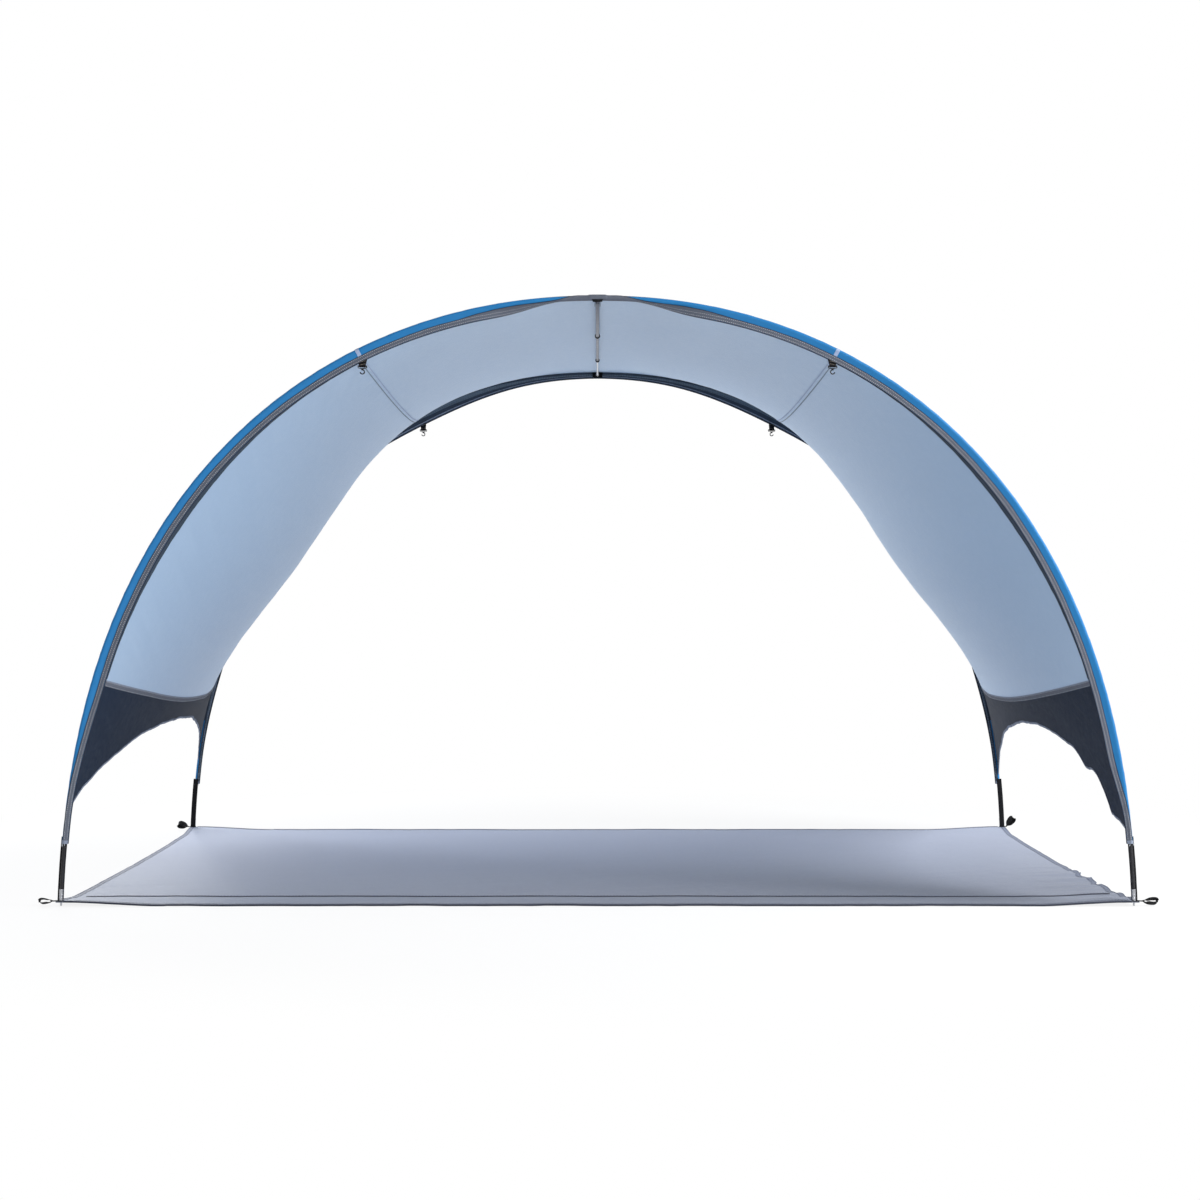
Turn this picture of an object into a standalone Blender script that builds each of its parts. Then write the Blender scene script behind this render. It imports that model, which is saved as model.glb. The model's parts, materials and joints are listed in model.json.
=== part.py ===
"""Arch beach shelter: two sprung hoops in fabric sleeves, a canopy stretched between them,
a telescopic ridge pole, side skirts and a ground sheet.

Metres, +Z up. X runs across the doorway, the front hoop stands at -Y, and the origin lies on
the ground in the middle of the floor.
"""
import math

import bmesh
import bpy
import numpy as np

# The whole shelter
FOOT_SPAN = 2.734
DEPTH = 1.78
HOOP_HEIGHT = 1.55

# The bent line of a hoop: a superellipse whose centre lies below the ground
HOOP_SINK = 0.2
SIDE_POWER_SHARE = 2.1
TOP_POWER_SHARE = 2.5

# Clearances
GAP = 0.0003
OVERRUN = 0.01
SMOOTH_LIMIT = math.radians(30)

# Hoop poles: hollow rods in plug-in sections, each with a crimped ferrule on one end
SECTION_COUNT = 7
SECTION_STEPS = 5
LINE_POINTS = 4001
ROD_RADIUS = 0.00425
ROD_BORE = 0.0022
FERRULE_WALL = 0.0006
FERRULE_GRIP = 0.035
ROD_SIDES = 6
SHOCK_CORD_RADIUS = ROD_BORE - GAP

# Pole tips and the eyelets that they stand in
PIN_RADIUS = 0.0025
PIN_TAPER = 0.001
CAP_FLOOR = 0.003
CAP_LENGTH = 0.028
TIP_SIDES = 10
PIN_CLEARANCE = 0.0009
EYELET_WALL = 0.0006
FLANGE_REACH = 0.0019
FLANGE_THICKNESS = 0.0008

# Cloth and webbing
CANOPY_THICKNESS = 0.0012
FLOOR_THICKNESS = 0.0012
WEBBING_THICKNESS = 0.0012

# Ground sheet
CORNER_LIFT = 0.010
HEM_MARGIN = 0.001
FLOOR_SIDE_WAIST = 0.016
FLOOR_END_WAIST = 0.004
LIFT_START_SHARE = 0.8
FLOOR_CELLS = (18, 12)

# Sleeves
SLEEVE_WALL = 0.00105
SEAM_RISE = 0.007
TAIL_WIDTH = 0.014
TAIL_HALF = 0.0012
REAR_TAIL_EXTRA = 0.020
REAR_TAIL_SPREAD = 0.34
SLEEVE_END_HEIGHT = 0.16
TWIST_FLAT = 0.07
TWIST_RAMP = 0.26
ARC_POINTS = 7

# Canopy: how far the middle of its depth is drawn in, and how that changes with height
SAG = 0.183
SAG_PEAK_SHARE = 0.65
SAG_FULLNESS_SHARE = 1.5
ROOF_SEAM_X = 0.6115
SKIRT_FRONT_HEIGHT = 0.575
SKIRT_REAR_HEIGHT = 0.6
SKIRT_DIP = 0.045
CUT_FRONT_HEIGHT = 0.25
CUT_REAR_HEIGHT = 0.20
CUT_RISE = 0.235
CUT_FULLNESS_SHARE = 0.75
DEPTH_CELLS = 10
SIDE_CELLS = 10
SKIRT_CELLS = 5

# Straps at the feet
STRAP_WIDTH = 0.016
STRAP_SHIFT = 0.003
STRAP_LAP = 0.015
STRAP_STEPS = 4
STRAP_TOE = 0.009
LUG_MARGIN = 0.001

# Stake loops
LOOP_CLEARANCE = 0.001
LOOP_LENGTH = 0.050
LOOP_WIDTH = 0.020
LOOP_NECK_WIDTH = 0.007
LOOP_NECK_LENGTH = 0.006
LOOP_FLARE_LENGTH = 0.012
LOOP_HALF_HEIGHT = 0.0050
LOOP_TILTS = {"front_left": 0.0, "front_right": 0.0, "rear_left": 14.0, "rear_right": 50.0}

# Side hooks on their webbing tabs
TAB_TOP_WIDTH = 0.024
TAB_WIDTH = 0.018
TAB_DROP = 0.012
HOOK_THICKNESS = 0.003
HOOK_ARM = 0.0024
SLOT_CLEARANCE = 0.0016
HOOK_YOKE = 0.003
HOOK_NECK = 0.006
HOOK_RADIUS = 0.0068
HOOK_BORE = 0.004
MOUTH_FROM = math.radians(62)
MOUTH_TO = math.radians(-5)
BAR_SIDES = 10
HOOK_INNER_POINTS = 11
HOOK_OUTER_POINTS = 10

# Ridge pole and its pockets
RIDGE_RADIUS = 0.00475
RIDGE_WALL = 0.0007
OUTER_SHARE = 0.40
MIDDLE_SHARE = 0.75
TUBE_OVERLAP = 0.06
COLLAR_WALL = 0.0011
COLLAR_GRIP = 0.010
COLLAR_LIP = 0.004
RIDGE_TIP_LENGTH = 0.030
RIDGE_SIDES = 10
DOME_STEPS = 3
POCKET_WALL = 0.0015
POCKET_LAP = 0.0022
POCKET_LENGTH = 0.014
BAND_TOP_WIDTH = 0.036
BAND_LOW_WIDTH = 0.024
BAND_STEPS = 6

# Sizes worked out from the ones above
FERRULE_BORE = ROD_RADIUS + GAP
FERRULE_RADIUS = FERRULE_BORE + FERRULE_WALL
SLEEVE_BORE = FERRULE_RADIUS + GAP
SLEEVE_RADIUS = SLEEVE_BORE + SLEEVE_WALL
SLEEVE_SEAM = SLEEVE_RADIUS + SEAM_RISE
TAIL_END = SLEEVE_SEAM + TAIL_WIDTH
STRAP_FOOT_BASE = CORNER_LIFT + FLOOR_THICKNESS + GAP
STRAP_FOOT_TOP = STRAP_FOOT_BASE + WEBBING_THICKNESS
FLANGE_BASE = STRAP_FOOT_TOP + GAP
SHOULDER_HEIGHT = FLANGE_BASE + FLANGE_THICKNESS + GAP
ROD_END_HEIGHT = SHOULDER_HEIGHT + CAP_FLOOR + GAP
EYELET_BORE = PIN_RADIUS + PIN_CLEARANCE
EYELET_HOLE = EYELET_BORE + EYELET_WALL + GAP
FLANGE_RADIUS = EYELET_HOLE + FLANGE_REACH
STRAP_EDGE = STRAP_SHIFT + STRAP_WIDTH / 2
CORNER_MARGIN = STRAP_EDGE + HEM_MARGIN
LOOP_REACH = STRAP_EDGE + LOOP_HALF_HEIGHT + LOOP_CLEARANCE
STRAP_LUG = LOOP_NECK_WIDTH / 2 + LUG_MARGIN
BAR_HALF = HOOK_THICKNESS / 2
FOLD_BORE = BAR_HALF * math.sqrt(2) + GAP
FOLD_RADIUS = FOLD_BORE + WEBBING_THICKNESS
HOOK_SLOT_DROP = FOLD_RADIUS + SLOT_CLEARANCE
HALF_DEPTH = DEPTH / 2
HALF_SPAN = FOOT_SPAN / 2
STATION_COUNT = SECTION_COUNT * SECTION_STEPS + 1

FRONT = -1
REAR = 1
LEFT = -1
RIGHT = 1
CORNERS = {"front_left": (FRONT, LEFT), "front_right": (FRONT, RIGHT),
           "rear_left": (REAR, LEFT), "rear_right": (REAR, RIGHT)}

COLOURS = {
    "canopy_cloth": ((0.36, 0.45, 0.58), 0.55, 0.0),
    "skirt_cloth": ((0.027, 0.042, 0.070), 0.75, 0.0),
    "sleeve_cloth": ((0.035, 0.150, 0.360), 0.70, 0.0),
    "floor_cloth": ((0.330, 0.370, 0.450), 0.65, 0.0),
    "webbing": ((0.010, 0.010, 0.012), 0.80, 0.0),
    "hook_plastic": ((0.014, 0.014, 0.016), 0.45, 0.0),
    "fibre_rod": ((0.018, 0.018, 0.020), 0.40, 0.0),
    "shock_cord": ((0.60, 0.60, 0.60), 0.80, 0.0),
    "bright_metal": ((0.62, 0.63, 0.65), 0.30, 1.0),
    "ridge_metal": ((0.48, 0.50, 0.53), 0.35, 1.0),
}


def clear_scene():
    """Remove whatever the scene holds."""
    for item in list(bpy.data.objects):
        bpy.data.objects.remove(item, do_unlink=True)


def finish(name):
    """The material of one finish, made on first use."""
    if name in bpy.data.materials:
        return bpy.data.materials[name]
    colour, roughness, metallic = COLOURS[name]
    made = bpy.data.materials.new(name)
    made.use_nodes = True
    shader = made.node_tree.nodes["Principled BSDF"]
    shader.inputs["Base Color"].default_value = (*colour, 1.0)
    shader.inputs["Roughness"].default_value = roughness
    shader.inputs["Metallic"].default_value = metallic
    made.diffuse_color = (*colour, 1.0)
    return made


def make_object(name, points, faces, material, origin=(0.0, 0.0, 0.0)):
    """One closed solid from points and faces, with its object origin at the given place."""
    origin = np.asarray(origin, dtype=float)
    mesh = bpy.data.meshes.new(name)
    mesh.from_pydata((np.asarray(points) - origin).tolist(), [], faces)
    work = bmesh.new()
    work.from_mesh(mesh)
    bmesh.ops.recalc_face_normals(work, faces=work.faces)
    work.to_mesh(mesh)
    work.free()
    mesh.shade_smooth()
    mesh.set_sharp_from_angle(angle=SMOOTH_LIMIT)
    made = bpy.data.objects.new(name, mesh)
    made.location = origin.tolist()
    bpy.context.scene.collection.objects.link(made)
    if material:
        made.data.materials.append(finish(material))
    return made


def split(cell):
    """The two triangles of a four-sided cell, parted from its first corner to its third."""
    return [(cell[0], cell[1], cell[2]), (cell[0], cell[2], cell[3])]


def skin(name, rings, material, closed=False, origin=(0.0, 0.0, 0.0)):
    """A skin over rings of equal counts. Closed joins the last ring to the first, and
    otherwise both ends are filled. The two halves of a ring split their cells along mirrored
    diagonals, so a flat strip that twists keeps its thickness."""
    rings = np.asarray(rings)
    count, sides = rings.shape[:2]
    faces = []
    for ring in range(count if closed else count - 1):
        following = (ring + 1) % count
        for side in range(sides):
            near = (side + 1) % sides
            cell = (ring * sides + side, ring * sides + near,
                    following * sides + near, following * sides + side)
            faces += split(cell) if side < sides // 2 else split(cell[1:] + cell[:1])
    if not closed:
        faces.append(tuple(range(sides)))
        faces.append(tuple((count - 1) * sides + side for side in range(sides)))
    return make_object(name, rings.reshape(-1, 3), faces, material, origin)


def sheet(name, grid, thickness, material):
    """A sheet of cloth: a grid of points with half its thickness on each side. Both faces are
    split along the same diagonals."""
    along = np.gradient(grid, axis=0)
    across = np.gradient(grid, axis=1)
    normal = np.cross(along, across)
    normal /= np.linalg.norm(normal, axis=2, keepdims=True)
    rows, columns = grid.shape[:2]
    points = np.concatenate([(grid + normal * thickness / 2).reshape(-1, 3),
                             (grid - normal * thickness / 2).reshape(-1, 3)])
    under = rows * columns

    def at(row, column):
        return row * columns + column

    faces = []
    for row in range(rows - 1):
        for column in range(columns - 1):
            cell = (at(row, column), at(row + 1, column), at(row + 1, column + 1), at(row, column + 1))
            faces += split(cell)
            faces += split(tuple(under + corner for corner in (cell[0], cell[3], cell[2], cell[1])))
    border = [at(0, column) for column in range(columns)]
    border += [at(row, columns - 1) for row in range(1, rows)]
    border += [at(rows - 1, column) for column in range(columns - 2, -1, -1)]
    border += [at(row, 0) for row in range(rows - 2, 0, -1)]
    for first, second in zip(border, border[1:] + border[:1]):
        faces.append((first, second, under + second, under + first))
    return make_object(name, points, faces, material)


def block(name, low, high, material=None):
    """A plain box between two corners."""
    points = [(x, y, z) for x in (low[0], high[0]) for y in (low[1], high[1]) for z in (low[2], high[2])]
    faces = [(0, 1, 3, 2), (4, 6, 7, 5), (0, 4, 5, 1), (2, 3, 7, 6), (0, 2, 6, 4), (1, 5, 7, 3)]
    return make_object(name, points, faces, material)


def combine(target, tool, operation):
    """Cut the target with the tool, or join the tool to it, and keep the tool as a guide."""
    tool.hide_render = True
    tool.display_type = "WIRE"
    change = target.modifiers.new(tool.name, "BOOLEAN")
    change.operation = operation
    change.solver = "EXACT"
    change.object = tool


def circle_ring(centre, first, second, radius, sides):
    """Points of a circle in the plane of two unit axes."""
    angles = np.arange(sides) * 2 * math.pi / sides
    return (np.asarray(centre) + radius * np.cos(angles)[:, None] * np.asarray(first)
            + radius * np.sin(angles)[:, None] * np.asarray(second))


def smooth_step(value):
    """An even S-curve from 0 to 1."""
    held = np.clip(value, 0.0, 1.0)
    return held * held * (3 - 2 * held)


# The bent line of a hoop

def hoop_stations():
    """Stations at even steps along the hoop, from the left foot over to the right one:
    distances along the line, centres and outward normals."""
    top = HOOP_HEIGHT + HOOP_SINK
    foot_share = (ROD_END_HEIGHT + HOOP_SINK) / top
    half_width = HALF_SPAN / (1 - foot_share ** TOP_POWER_SHARE) ** (1 / SIDE_POWER_SHARE)
    turn = np.linspace(math.asin(foot_share ** (TOP_POWER_SHARE / 2)), math.pi / 2, LINE_POINTS)
    x = -half_width * np.maximum(np.cos(turn), 0) ** (2 / SIDE_POWER_SHARE)
    z = top * np.sin(turn) ** (2 / TOP_POWER_SHARE) - HOOP_SINK
    x[-1] = 0.0
    x = np.concatenate([x, -x[-2::-1]])
    z = np.concatenate([z, z[-2::-1]])
    travelled = np.concatenate([[0.0], np.cumsum(np.hypot(np.diff(x), np.diff(z)))])
    even = np.linspace(0, travelled[-1], STATION_COUNT)
    centres = np.stack([np.interp(even, travelled, x), np.zeros(STATION_COUNT),
                        np.interp(even, travelled, z)], axis=1)
    centres = (centres + centres[::-1] * (-1, 1, 1)) / 2
    runs = np.diff(centres, axis=0)
    lengths = np.linalg.norm(runs, axis=1)
    runs /= lengths[:, None]
    ways = np.concatenate([runs[:1], runs[:-1] + runs[1:], runs[-1:]])
    ways /= np.linalg.norm(ways, axis=1, keepdims=True)
    normals = np.stack([-ways[:, 2], np.zeros(STATION_COUNT), ways[:, 0]], axis=1)
    return np.concatenate([[0.0], np.cumsum(lengths)]), centres, normals


STATION_AT, STATION_CENTRES, STATION_NORMALS = hoop_stations()
HOOP_LENGTH = STATION_AT[-1]
APEX_AT = HOOP_LENGTH / 2
APEX_HEIGHT = STATION_CENTRES[:, 2].max()


def hoop_frame(distance):
    """Centre and outward normal of the hoop's line at a distance along it."""
    centre = np.stack([np.interp(distance, STATION_AT, STATION_CENTRES[:, axis]) for axis in range(3)], axis=-1)
    normal = np.stack([np.interp(distance, STATION_AT, STATION_NORMALS[:, axis]) for axis in range(3)], axis=-1)
    return centre, normal


def distance_at_height(height):
    """Distance along the left side of the hoop at which it reaches a height."""
    rising = slice(0, STATION_COUNT // 2)
    return np.interp(height, STATION_CENTRES[rising, 2], STATION_AT[rising])


def distance_at_width(half_width):
    """Distance along the left side of the hoop at which it is so far from the middle."""
    rising = slice(0, STATION_COUNT // 2)
    return np.interp(-half_width, STATION_CENTRES[rising, 0], STATION_AT[rising])


ROOF_SEAM_AT = distance_at_width(ROOF_SEAM_X)
SLEEVE_START = distance_at_height(SLEEVE_END_HEIGHT)


def stations_between(start, end):
    """The start, each station strictly between, and the end."""
    inside = [at for at in STATION_AT if start + GAP < at < end - GAP]
    return [start, *inside, end]


def plane_of(hoop):
    """The vertical plane in which a hoop stands."""
    return np.array((0.0, hoop * HALF_DEPTH, 0.0))


def inward_of(hoop):
    """The direction from a hoop's plane into the shelter."""
    return np.array((0.0, -hoop, 0.0))


def hoop_rings(hoop, profile, sides):
    """Rings round a hoop's line, one for each distance and radius of the profile."""
    rings = []
    for distance, radius in profile:
        centre, normal = hoop_frame(distance)
        rings.append(circle_ring(centre + plane_of(hoop), normal, (0, 1, 0), radius, sides))
    return rings


# Hoop poles

def pole_section(hoop, index, name):
    """One hollow rod of a hoop. All but the last carry the ferrule that takes the next rod."""
    start = STATION_AT[index * SECTION_STEPS] + (GAP / 2 if index else 0.0)
    end = STATION_AT[(index + 1) * SECTION_STEPS]
    last = index == SECTION_COUNT - 1
    if not last:
        end -= GAP / 2
    along = stations_between(start, end)
    profile = [(at, ROD_RADIUS) for at in along if last or at < end - FERRULE_GRIP]
    if not last:
        profile += [(end - FERRULE_GRIP, ROD_RADIUS), (end - FERRULE_GRIP, FERRULE_RADIUS),
                    (end, FERRULE_RADIUS), (end + FERRULE_GRIP, FERRULE_RADIUS),
                    (end + FERRULE_GRIP, FERRULE_BORE), (end, FERRULE_BORE)]
    profile += [(at, ROD_BORE) for at in reversed(along)]
    return skin(name, hoop_rings(hoop, profile, ROD_SIDES), "fibre_rod", closed=True)


def shock_cord(hoop, name):
    """The elastic cord that runs through all sections of a hoop."""
    profile = [(at, SHOCK_CORD_RADIUS) for at in STATION_AT]
    return skin(name, hoop_rings(hoop, profile, ROD_SIDES), "shock_cord")


def foot_centre(hoop, side):
    """The point of the ground plane under a pole's end."""
    return np.array((side * HALF_SPAN, hoop * HALF_DEPTH, 0.0))


def pole_tip(hoop, side, name):
    """The metal tip: a cap over the rod's end with a pin below that stands on the ground."""
    base = foot_centre(hoop, side)
    heights = [(0.0, PIN_RADIUS - PIN_TAPER), (PIN_TAPER, PIN_RADIUS), (SHOULDER_HEIGHT, PIN_RADIUS),
               (SHOULDER_HEIGHT, FERRULE_RADIUS), (SHOULDER_HEIGHT + CAP_FLOOR, FERRULE_RADIUS)]
    rings = [circle_ring(base + (0, 0, height), (side, 0, 0), (0, 1, 0), radius, TIP_SIDES)
             for height, radius in heights]
    grip = CAP_LENGTH - CAP_FLOOR
    for at, radius in ((grip, FERRULE_RADIUS), (grip, FERRULE_BORE), (0.0, FERRULE_BORE)):
        centre, normal = hoop_frame(at)
        place = centre * (-side, 1, 1) + plane_of(hoop)
        rings.append(circle_ring(place, normal * (-side, 1, 1), (0, 1, 0), radius, TIP_SIDES))
    rings[-1] = rings[-1] - (0, 0, GAP)
    return skin(name, rings, "bright_metal")


def eyelet(hoop, side, name):
    """A flanged ring that clamps the foot strap to the corner of the ground sheet."""
    base = foot_centre(hoop, side)
    low = CORNER_LIFT - GAP - FLANGE_THICKNESS
    wall = EYELET_BORE + EYELET_WALL
    profile = [(low, EYELET_BORE), (low, FLANGE_RADIUS), (low + FLANGE_THICKNESS, FLANGE_RADIUS),
               (low + FLANGE_THICKNESS, wall), (FLANGE_BASE, wall), (FLANGE_BASE, FLANGE_RADIUS),
               (FLANGE_BASE + FLANGE_THICKNESS, FLANGE_RADIUS), (FLANGE_BASE + FLANGE_THICKNESS, EYELET_BORE)]
    rings = [circle_ring(base + (0, 0, height), (1, 0, 0), (0, 1, 0), radius, TIP_SIDES)
             for height, radius in profile]
    return skin(name, rings, "bright_metal", closed=True, origin=base)


def eyelet_cutter(hoop, side, name):
    """The hole that an eyelet fills in the layers which it clamps."""
    base = foot_centre(hoop, side)
    rings = [circle_ring(base + (0, 0, height), (1, 0, 0), (0, 1, 0), EYELET_HOLE, TIP_SIDES)
             for height in (-OVERRUN, SHOULDER_HEIGHT + OVERRUN)]
    return skin(name, rings, None)


# Sleeves and canopy

def tail_turn(distance):
    """How far the sleeve's tail turns from inward to level, near the apex only."""
    off_apex = np.abs(distance - APEX_AT)
    return math.pi / 2 * smooth_step(1 - (off_apex - TWIST_FLAT) / TWIST_RAMP)


def tail_end(hoop, distance):
    """How far the sleeve's sewn tail reaches from the pole's centre."""
    if hoop == FRONT:
        return TAIL_END + 0 * distance
    off_seam = np.abs(np.abs(distance - APEX_AT) - (APEX_AT - ROOF_SEAM_AT))
    return TAIL_END + REAR_TAIL_EXTRA * np.exp(-(off_seam / REAR_TAIL_SPREAD) ** 2)


def sleeve_profile(hoop, distance):
    """The outline of a sleeve round its pole: a round outer part, sides that close in on the
    seam, and the flat sewn tail."""
    centre, normal = hoop_frame(distance)
    turn = tail_turn(distance)
    down = -math.cos(turn) * normal + math.sin(turn) * inward_of(hoop)
    across = math.sin(turn) * normal + math.cos(turn) * inward_of(hoop)
    centre = centre + plane_of(hoop)
    end = tail_end(hoop, distance)
    points = [centre + reach * down + TAIL_HALF * across for reach in (end, SLEEVE_SEAM)]
    for angle in np.linspace(math.pi / 2, -math.pi / 2, ARC_POINTS):
        points.append(centre + SLEEVE_RADIUS * (-math.cos(angle) * down + math.sin(angle) * across))
    points += [centre + reach * down - TAIL_HALF * across for reach in (SLEEVE_SEAM, end)]
    return np.array(points)


def sleeve(hoop, name):
    """A pole sleeve from just above one foot over to the other, open at both ends."""
    along = stations_between(SLEEVE_START, HOOP_LENGTH - SLEEVE_START)
    outside = [sleeve_profile(hoop, at) for at in along]
    made = skin(name, outside, "sleeve_cloth")
    reach = stations_between(SLEEVE_START - OVERRUN, HOOP_LENGTH - SLEEVE_START + OVERRUN)
    bore = skin(name + "_bore", hoop_rings(hoop, [(at, SLEEVE_BORE) for at in reach], ROD_SIDES), None)
    combine(made, bore, "DIFFERENCE")
    return made


def canopy_edge(hoop, distance):
    """Where the canopy leaves a sleeve: at the end of the tail, clear of its face. Between
    stations it runs straight, as the sleeve does."""
    turn = tail_turn(STATION_AT)[:, None]
    inward = inward_of(hoop)
    down = -np.cos(turn) * STATION_NORMALS + np.sin(turn) * inward
    reach = tail_end(hoop, STATION_AT)[:, None] + GAP * np.sin(turn)
    edge = STATION_CENTRES + plane_of(hoop) + reach * down + (TAIL_HALF + GAP) * np.cos(turn) * inward
    return np.stack([np.interp(distance, STATION_AT, edge[:, axis]) for axis in range(3)], axis=-1)


def canopy_sag(distance):
    """How far the canopy is drawn in at half its depth, by the height of the hoop there."""
    centre, _ = hoop_frame(distance)
    height_share = np.clip(centre[..., 2] / APEX_HEIGHT, 0, 1)
    power = math.log(0.5) / math.log(SAG_PEAK_SHARE)
    return SAG * np.maximum(np.sin(math.pi * height_share ** power), 0) ** SAG_FULLNESS_SHARE


def canopy_grid(start, end, shares):
    """Points of the canopy's surface between two lines, each given as a distance along the
    hoop for each share of the depth."""
    depth = np.linspace(0, 1, DEPTH_CELLS + 1)[None, :]
    distance = start(depth) + (end(depth) - start(depth)) * np.asarray(shares)[:, None]
    front = canopy_edge(FRONT, distance)
    rear = canopy_edge(REAR, distance)
    _, normal = hoop_frame(distance)
    bow = (4 * depth * (1 - depth) * canopy_sag(distance))[..., None]
    return front + (rear - front) * depth[..., None] - bow * normal


def roof_seam(depth):
    """The seam between roof and side, a line of equal distance along the hoop."""
    return ROOF_SEAM_AT + 0 * depth


def skirt_seam(depth):
    """The taped seam between side and skirt, which dips between the hoops."""
    height = SKIRT_FRONT_HEIGHT + (SKIRT_REAR_HEIGHT - SKIRT_FRONT_HEIGHT) * depth
    return distance_at_height(height - SKIRT_DIP * 4 * depth * (1 - depth))


def skirt_hem(depth):
    """The arch-shaped lower edge of a skirt."""
    height = CUT_FRONT_HEIGHT + (CUT_REAR_HEIGHT - CUT_FRONT_HEIGHT) * depth
    rise = CUT_RISE * np.maximum(np.sin(math.pi * depth), 0) ** CUT_FULLNESS_SHARE
    return distance_at_height(height + rise)


def shifted(line, by):
    """A line moved along the hoop by a small distance."""
    return lambda depth: line(depth) + by


def on_side(grid, side):
    """A grid made for the left side, set on the side that is asked for."""
    return grid * (-side, 1, 1)


def make_canopy():
    """Roof, sides and skirts."""
    half_gap = GAP / 2
    roof_start = ROOF_SEAM_AT + half_gap
    roof_end = HOOP_LENGTH - roof_start
    columns = np.array(stations_between(roof_start, roof_end))
    roof = canopy_grid(lambda depth: roof_start + 0 * depth, lambda depth: roof_end + 0 * depth,
                       (columns - roof_start) / (roof_end - roof_start))
    sheet("roof_panel", roof, CANOPY_THICKNESS, "canopy_cloth")
    wall = canopy_grid(shifted(skirt_seam, half_gap), shifted(roof_seam, -half_gap),
                       np.linspace(0, 1, SIDE_CELLS + 1))
    skirt = canopy_grid(skirt_hem, shifted(skirt_seam, -half_gap), np.linspace(0, 1, SKIRT_CELLS + 1))
    for side, word in ((LEFT, "left"), (RIGHT, "right")):
        sheet(word + "_side_panel", on_side(wall, side), CANOPY_THICKNESS, "canopy_cloth")
        sheet(word + "_skirt", on_side(skirt, side), CANOPY_THICKNESS, "skirt_cloth")


# Ground sheet

def make_ground_sheet():
    """The floor cloth: flat on the ground, lifted to the eyelets at its corners."""
    across, deep = FLOOR_CELLS
    corner = CORNER_MARGIN + FLANGE_RADIUS + FLANGE_THICKNESS
    flat_u = 1 - corner / (HALF_SPAN + CORNER_MARGIN)
    flat_v = 1 - corner / (HALF_DEPTH + CORNER_MARGIN)
    u = np.concatenate([[-1], np.linspace(-flat_u, flat_u, across - 1), [1]])[:, None] + np.zeros((1, deep + 1))
    v = np.concatenate([[-1], np.linspace(-flat_v, flat_v, deep - 1), [1]])[None, :] + np.zeros((across + 1, 1))
    x = u * (HALF_SPAN + CORNER_MARGIN - FLOOR_SIDE_WAIST * (1 - v * v))
    y = v * (HALF_DEPTH + CORNER_MARGIN - FLOOR_END_WAIST * (1 - u * u))
    lift_u = smooth_step((np.abs(u) - LIFT_START_SHARE) / (flat_u - LIFT_START_SHARE))
    lift_v = smooth_step((np.abs(v) - LIFT_START_SHARE) / (flat_v - LIFT_START_SHARE))
    z = FLOOR_THICKNESS / 2 + CORNER_LIFT * lift_u * lift_v
    made = sheet("ground_sheet", np.stack([x, y, z], axis=-1), FLOOR_THICKNESS, "floor_cloth")
    for word, (hoop, side) in CORNERS.items():
        combine(made, eyelet_cutter(hoop, side, "floor_hole_" + word), "DIFFERENCE")


# Foot straps and stake loops

def leg_strap(hoop, side, name):
    """The webbing that runs from the sleeve's end down beside the pole and folds under it."""
    base = foot_centre(hoop, side)
    near = SLEEVE_RADIUS + GAP
    far = near + WEBBING_THICKNESS
    rings = []
    low_share = np.linspace(0, 1, STRAP_STEPS + 1)
    low = SHOULDER_HEIGHT
    for height in low + (SLEEVE_END_HEIGHT + STRAP_LAP - low) * low_share:
        centre, _ = hoop_frame(distance_at_height(height))
        middle = side * (abs(centre[0]) + STRAP_SHIFT)
        rings.append([(middle + across * STRAP_WIDTH / 2, hoop * (HALF_DEPTH - deep), height)
                      for across, deep in ((-1, near), (1, near), (1, far), (-1, far))])
    inner_edge = side * (STRAP_SHIFT - STRAP_WIDTH / 2)
    outer_edge = side * STRAP_EDGE
    lug_edge = side * (LOOP_REACH - WEBBING_THICKNESS - GAP)
    edges = sorted((inner_edge, outer_edge))
    lug_edges = sorted((inner_edge, lug_edge))

    def foot_ring(ends, top_depth, low_depth):
        corners = ((ends[0], top_depth, STRAP_FOOT_TOP), (ends[1], top_depth, STRAP_FOOT_TOP),
                   (ends[1], low_depth, STRAP_FOOT_BASE), (ends[0], low_depth, STRAP_FOOT_BASE))
        return [(base[0] + across, hoop * (HALF_DEPTH - deep), height) for across, deep, height in corners]

    toe = [foot_ring(lug_edges, -STRAP_TOE, -STRAP_TOE), foot_ring(lug_edges, STRAP_LUG, STRAP_LUG),
           foot_ring(edges, near, far)]
    made = skin(name, toe + rings, "webbing")
    combine(made, eyelet_cutter(hoop, side, name + "_hole"), "DIFFERENCE")
    return made


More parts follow.
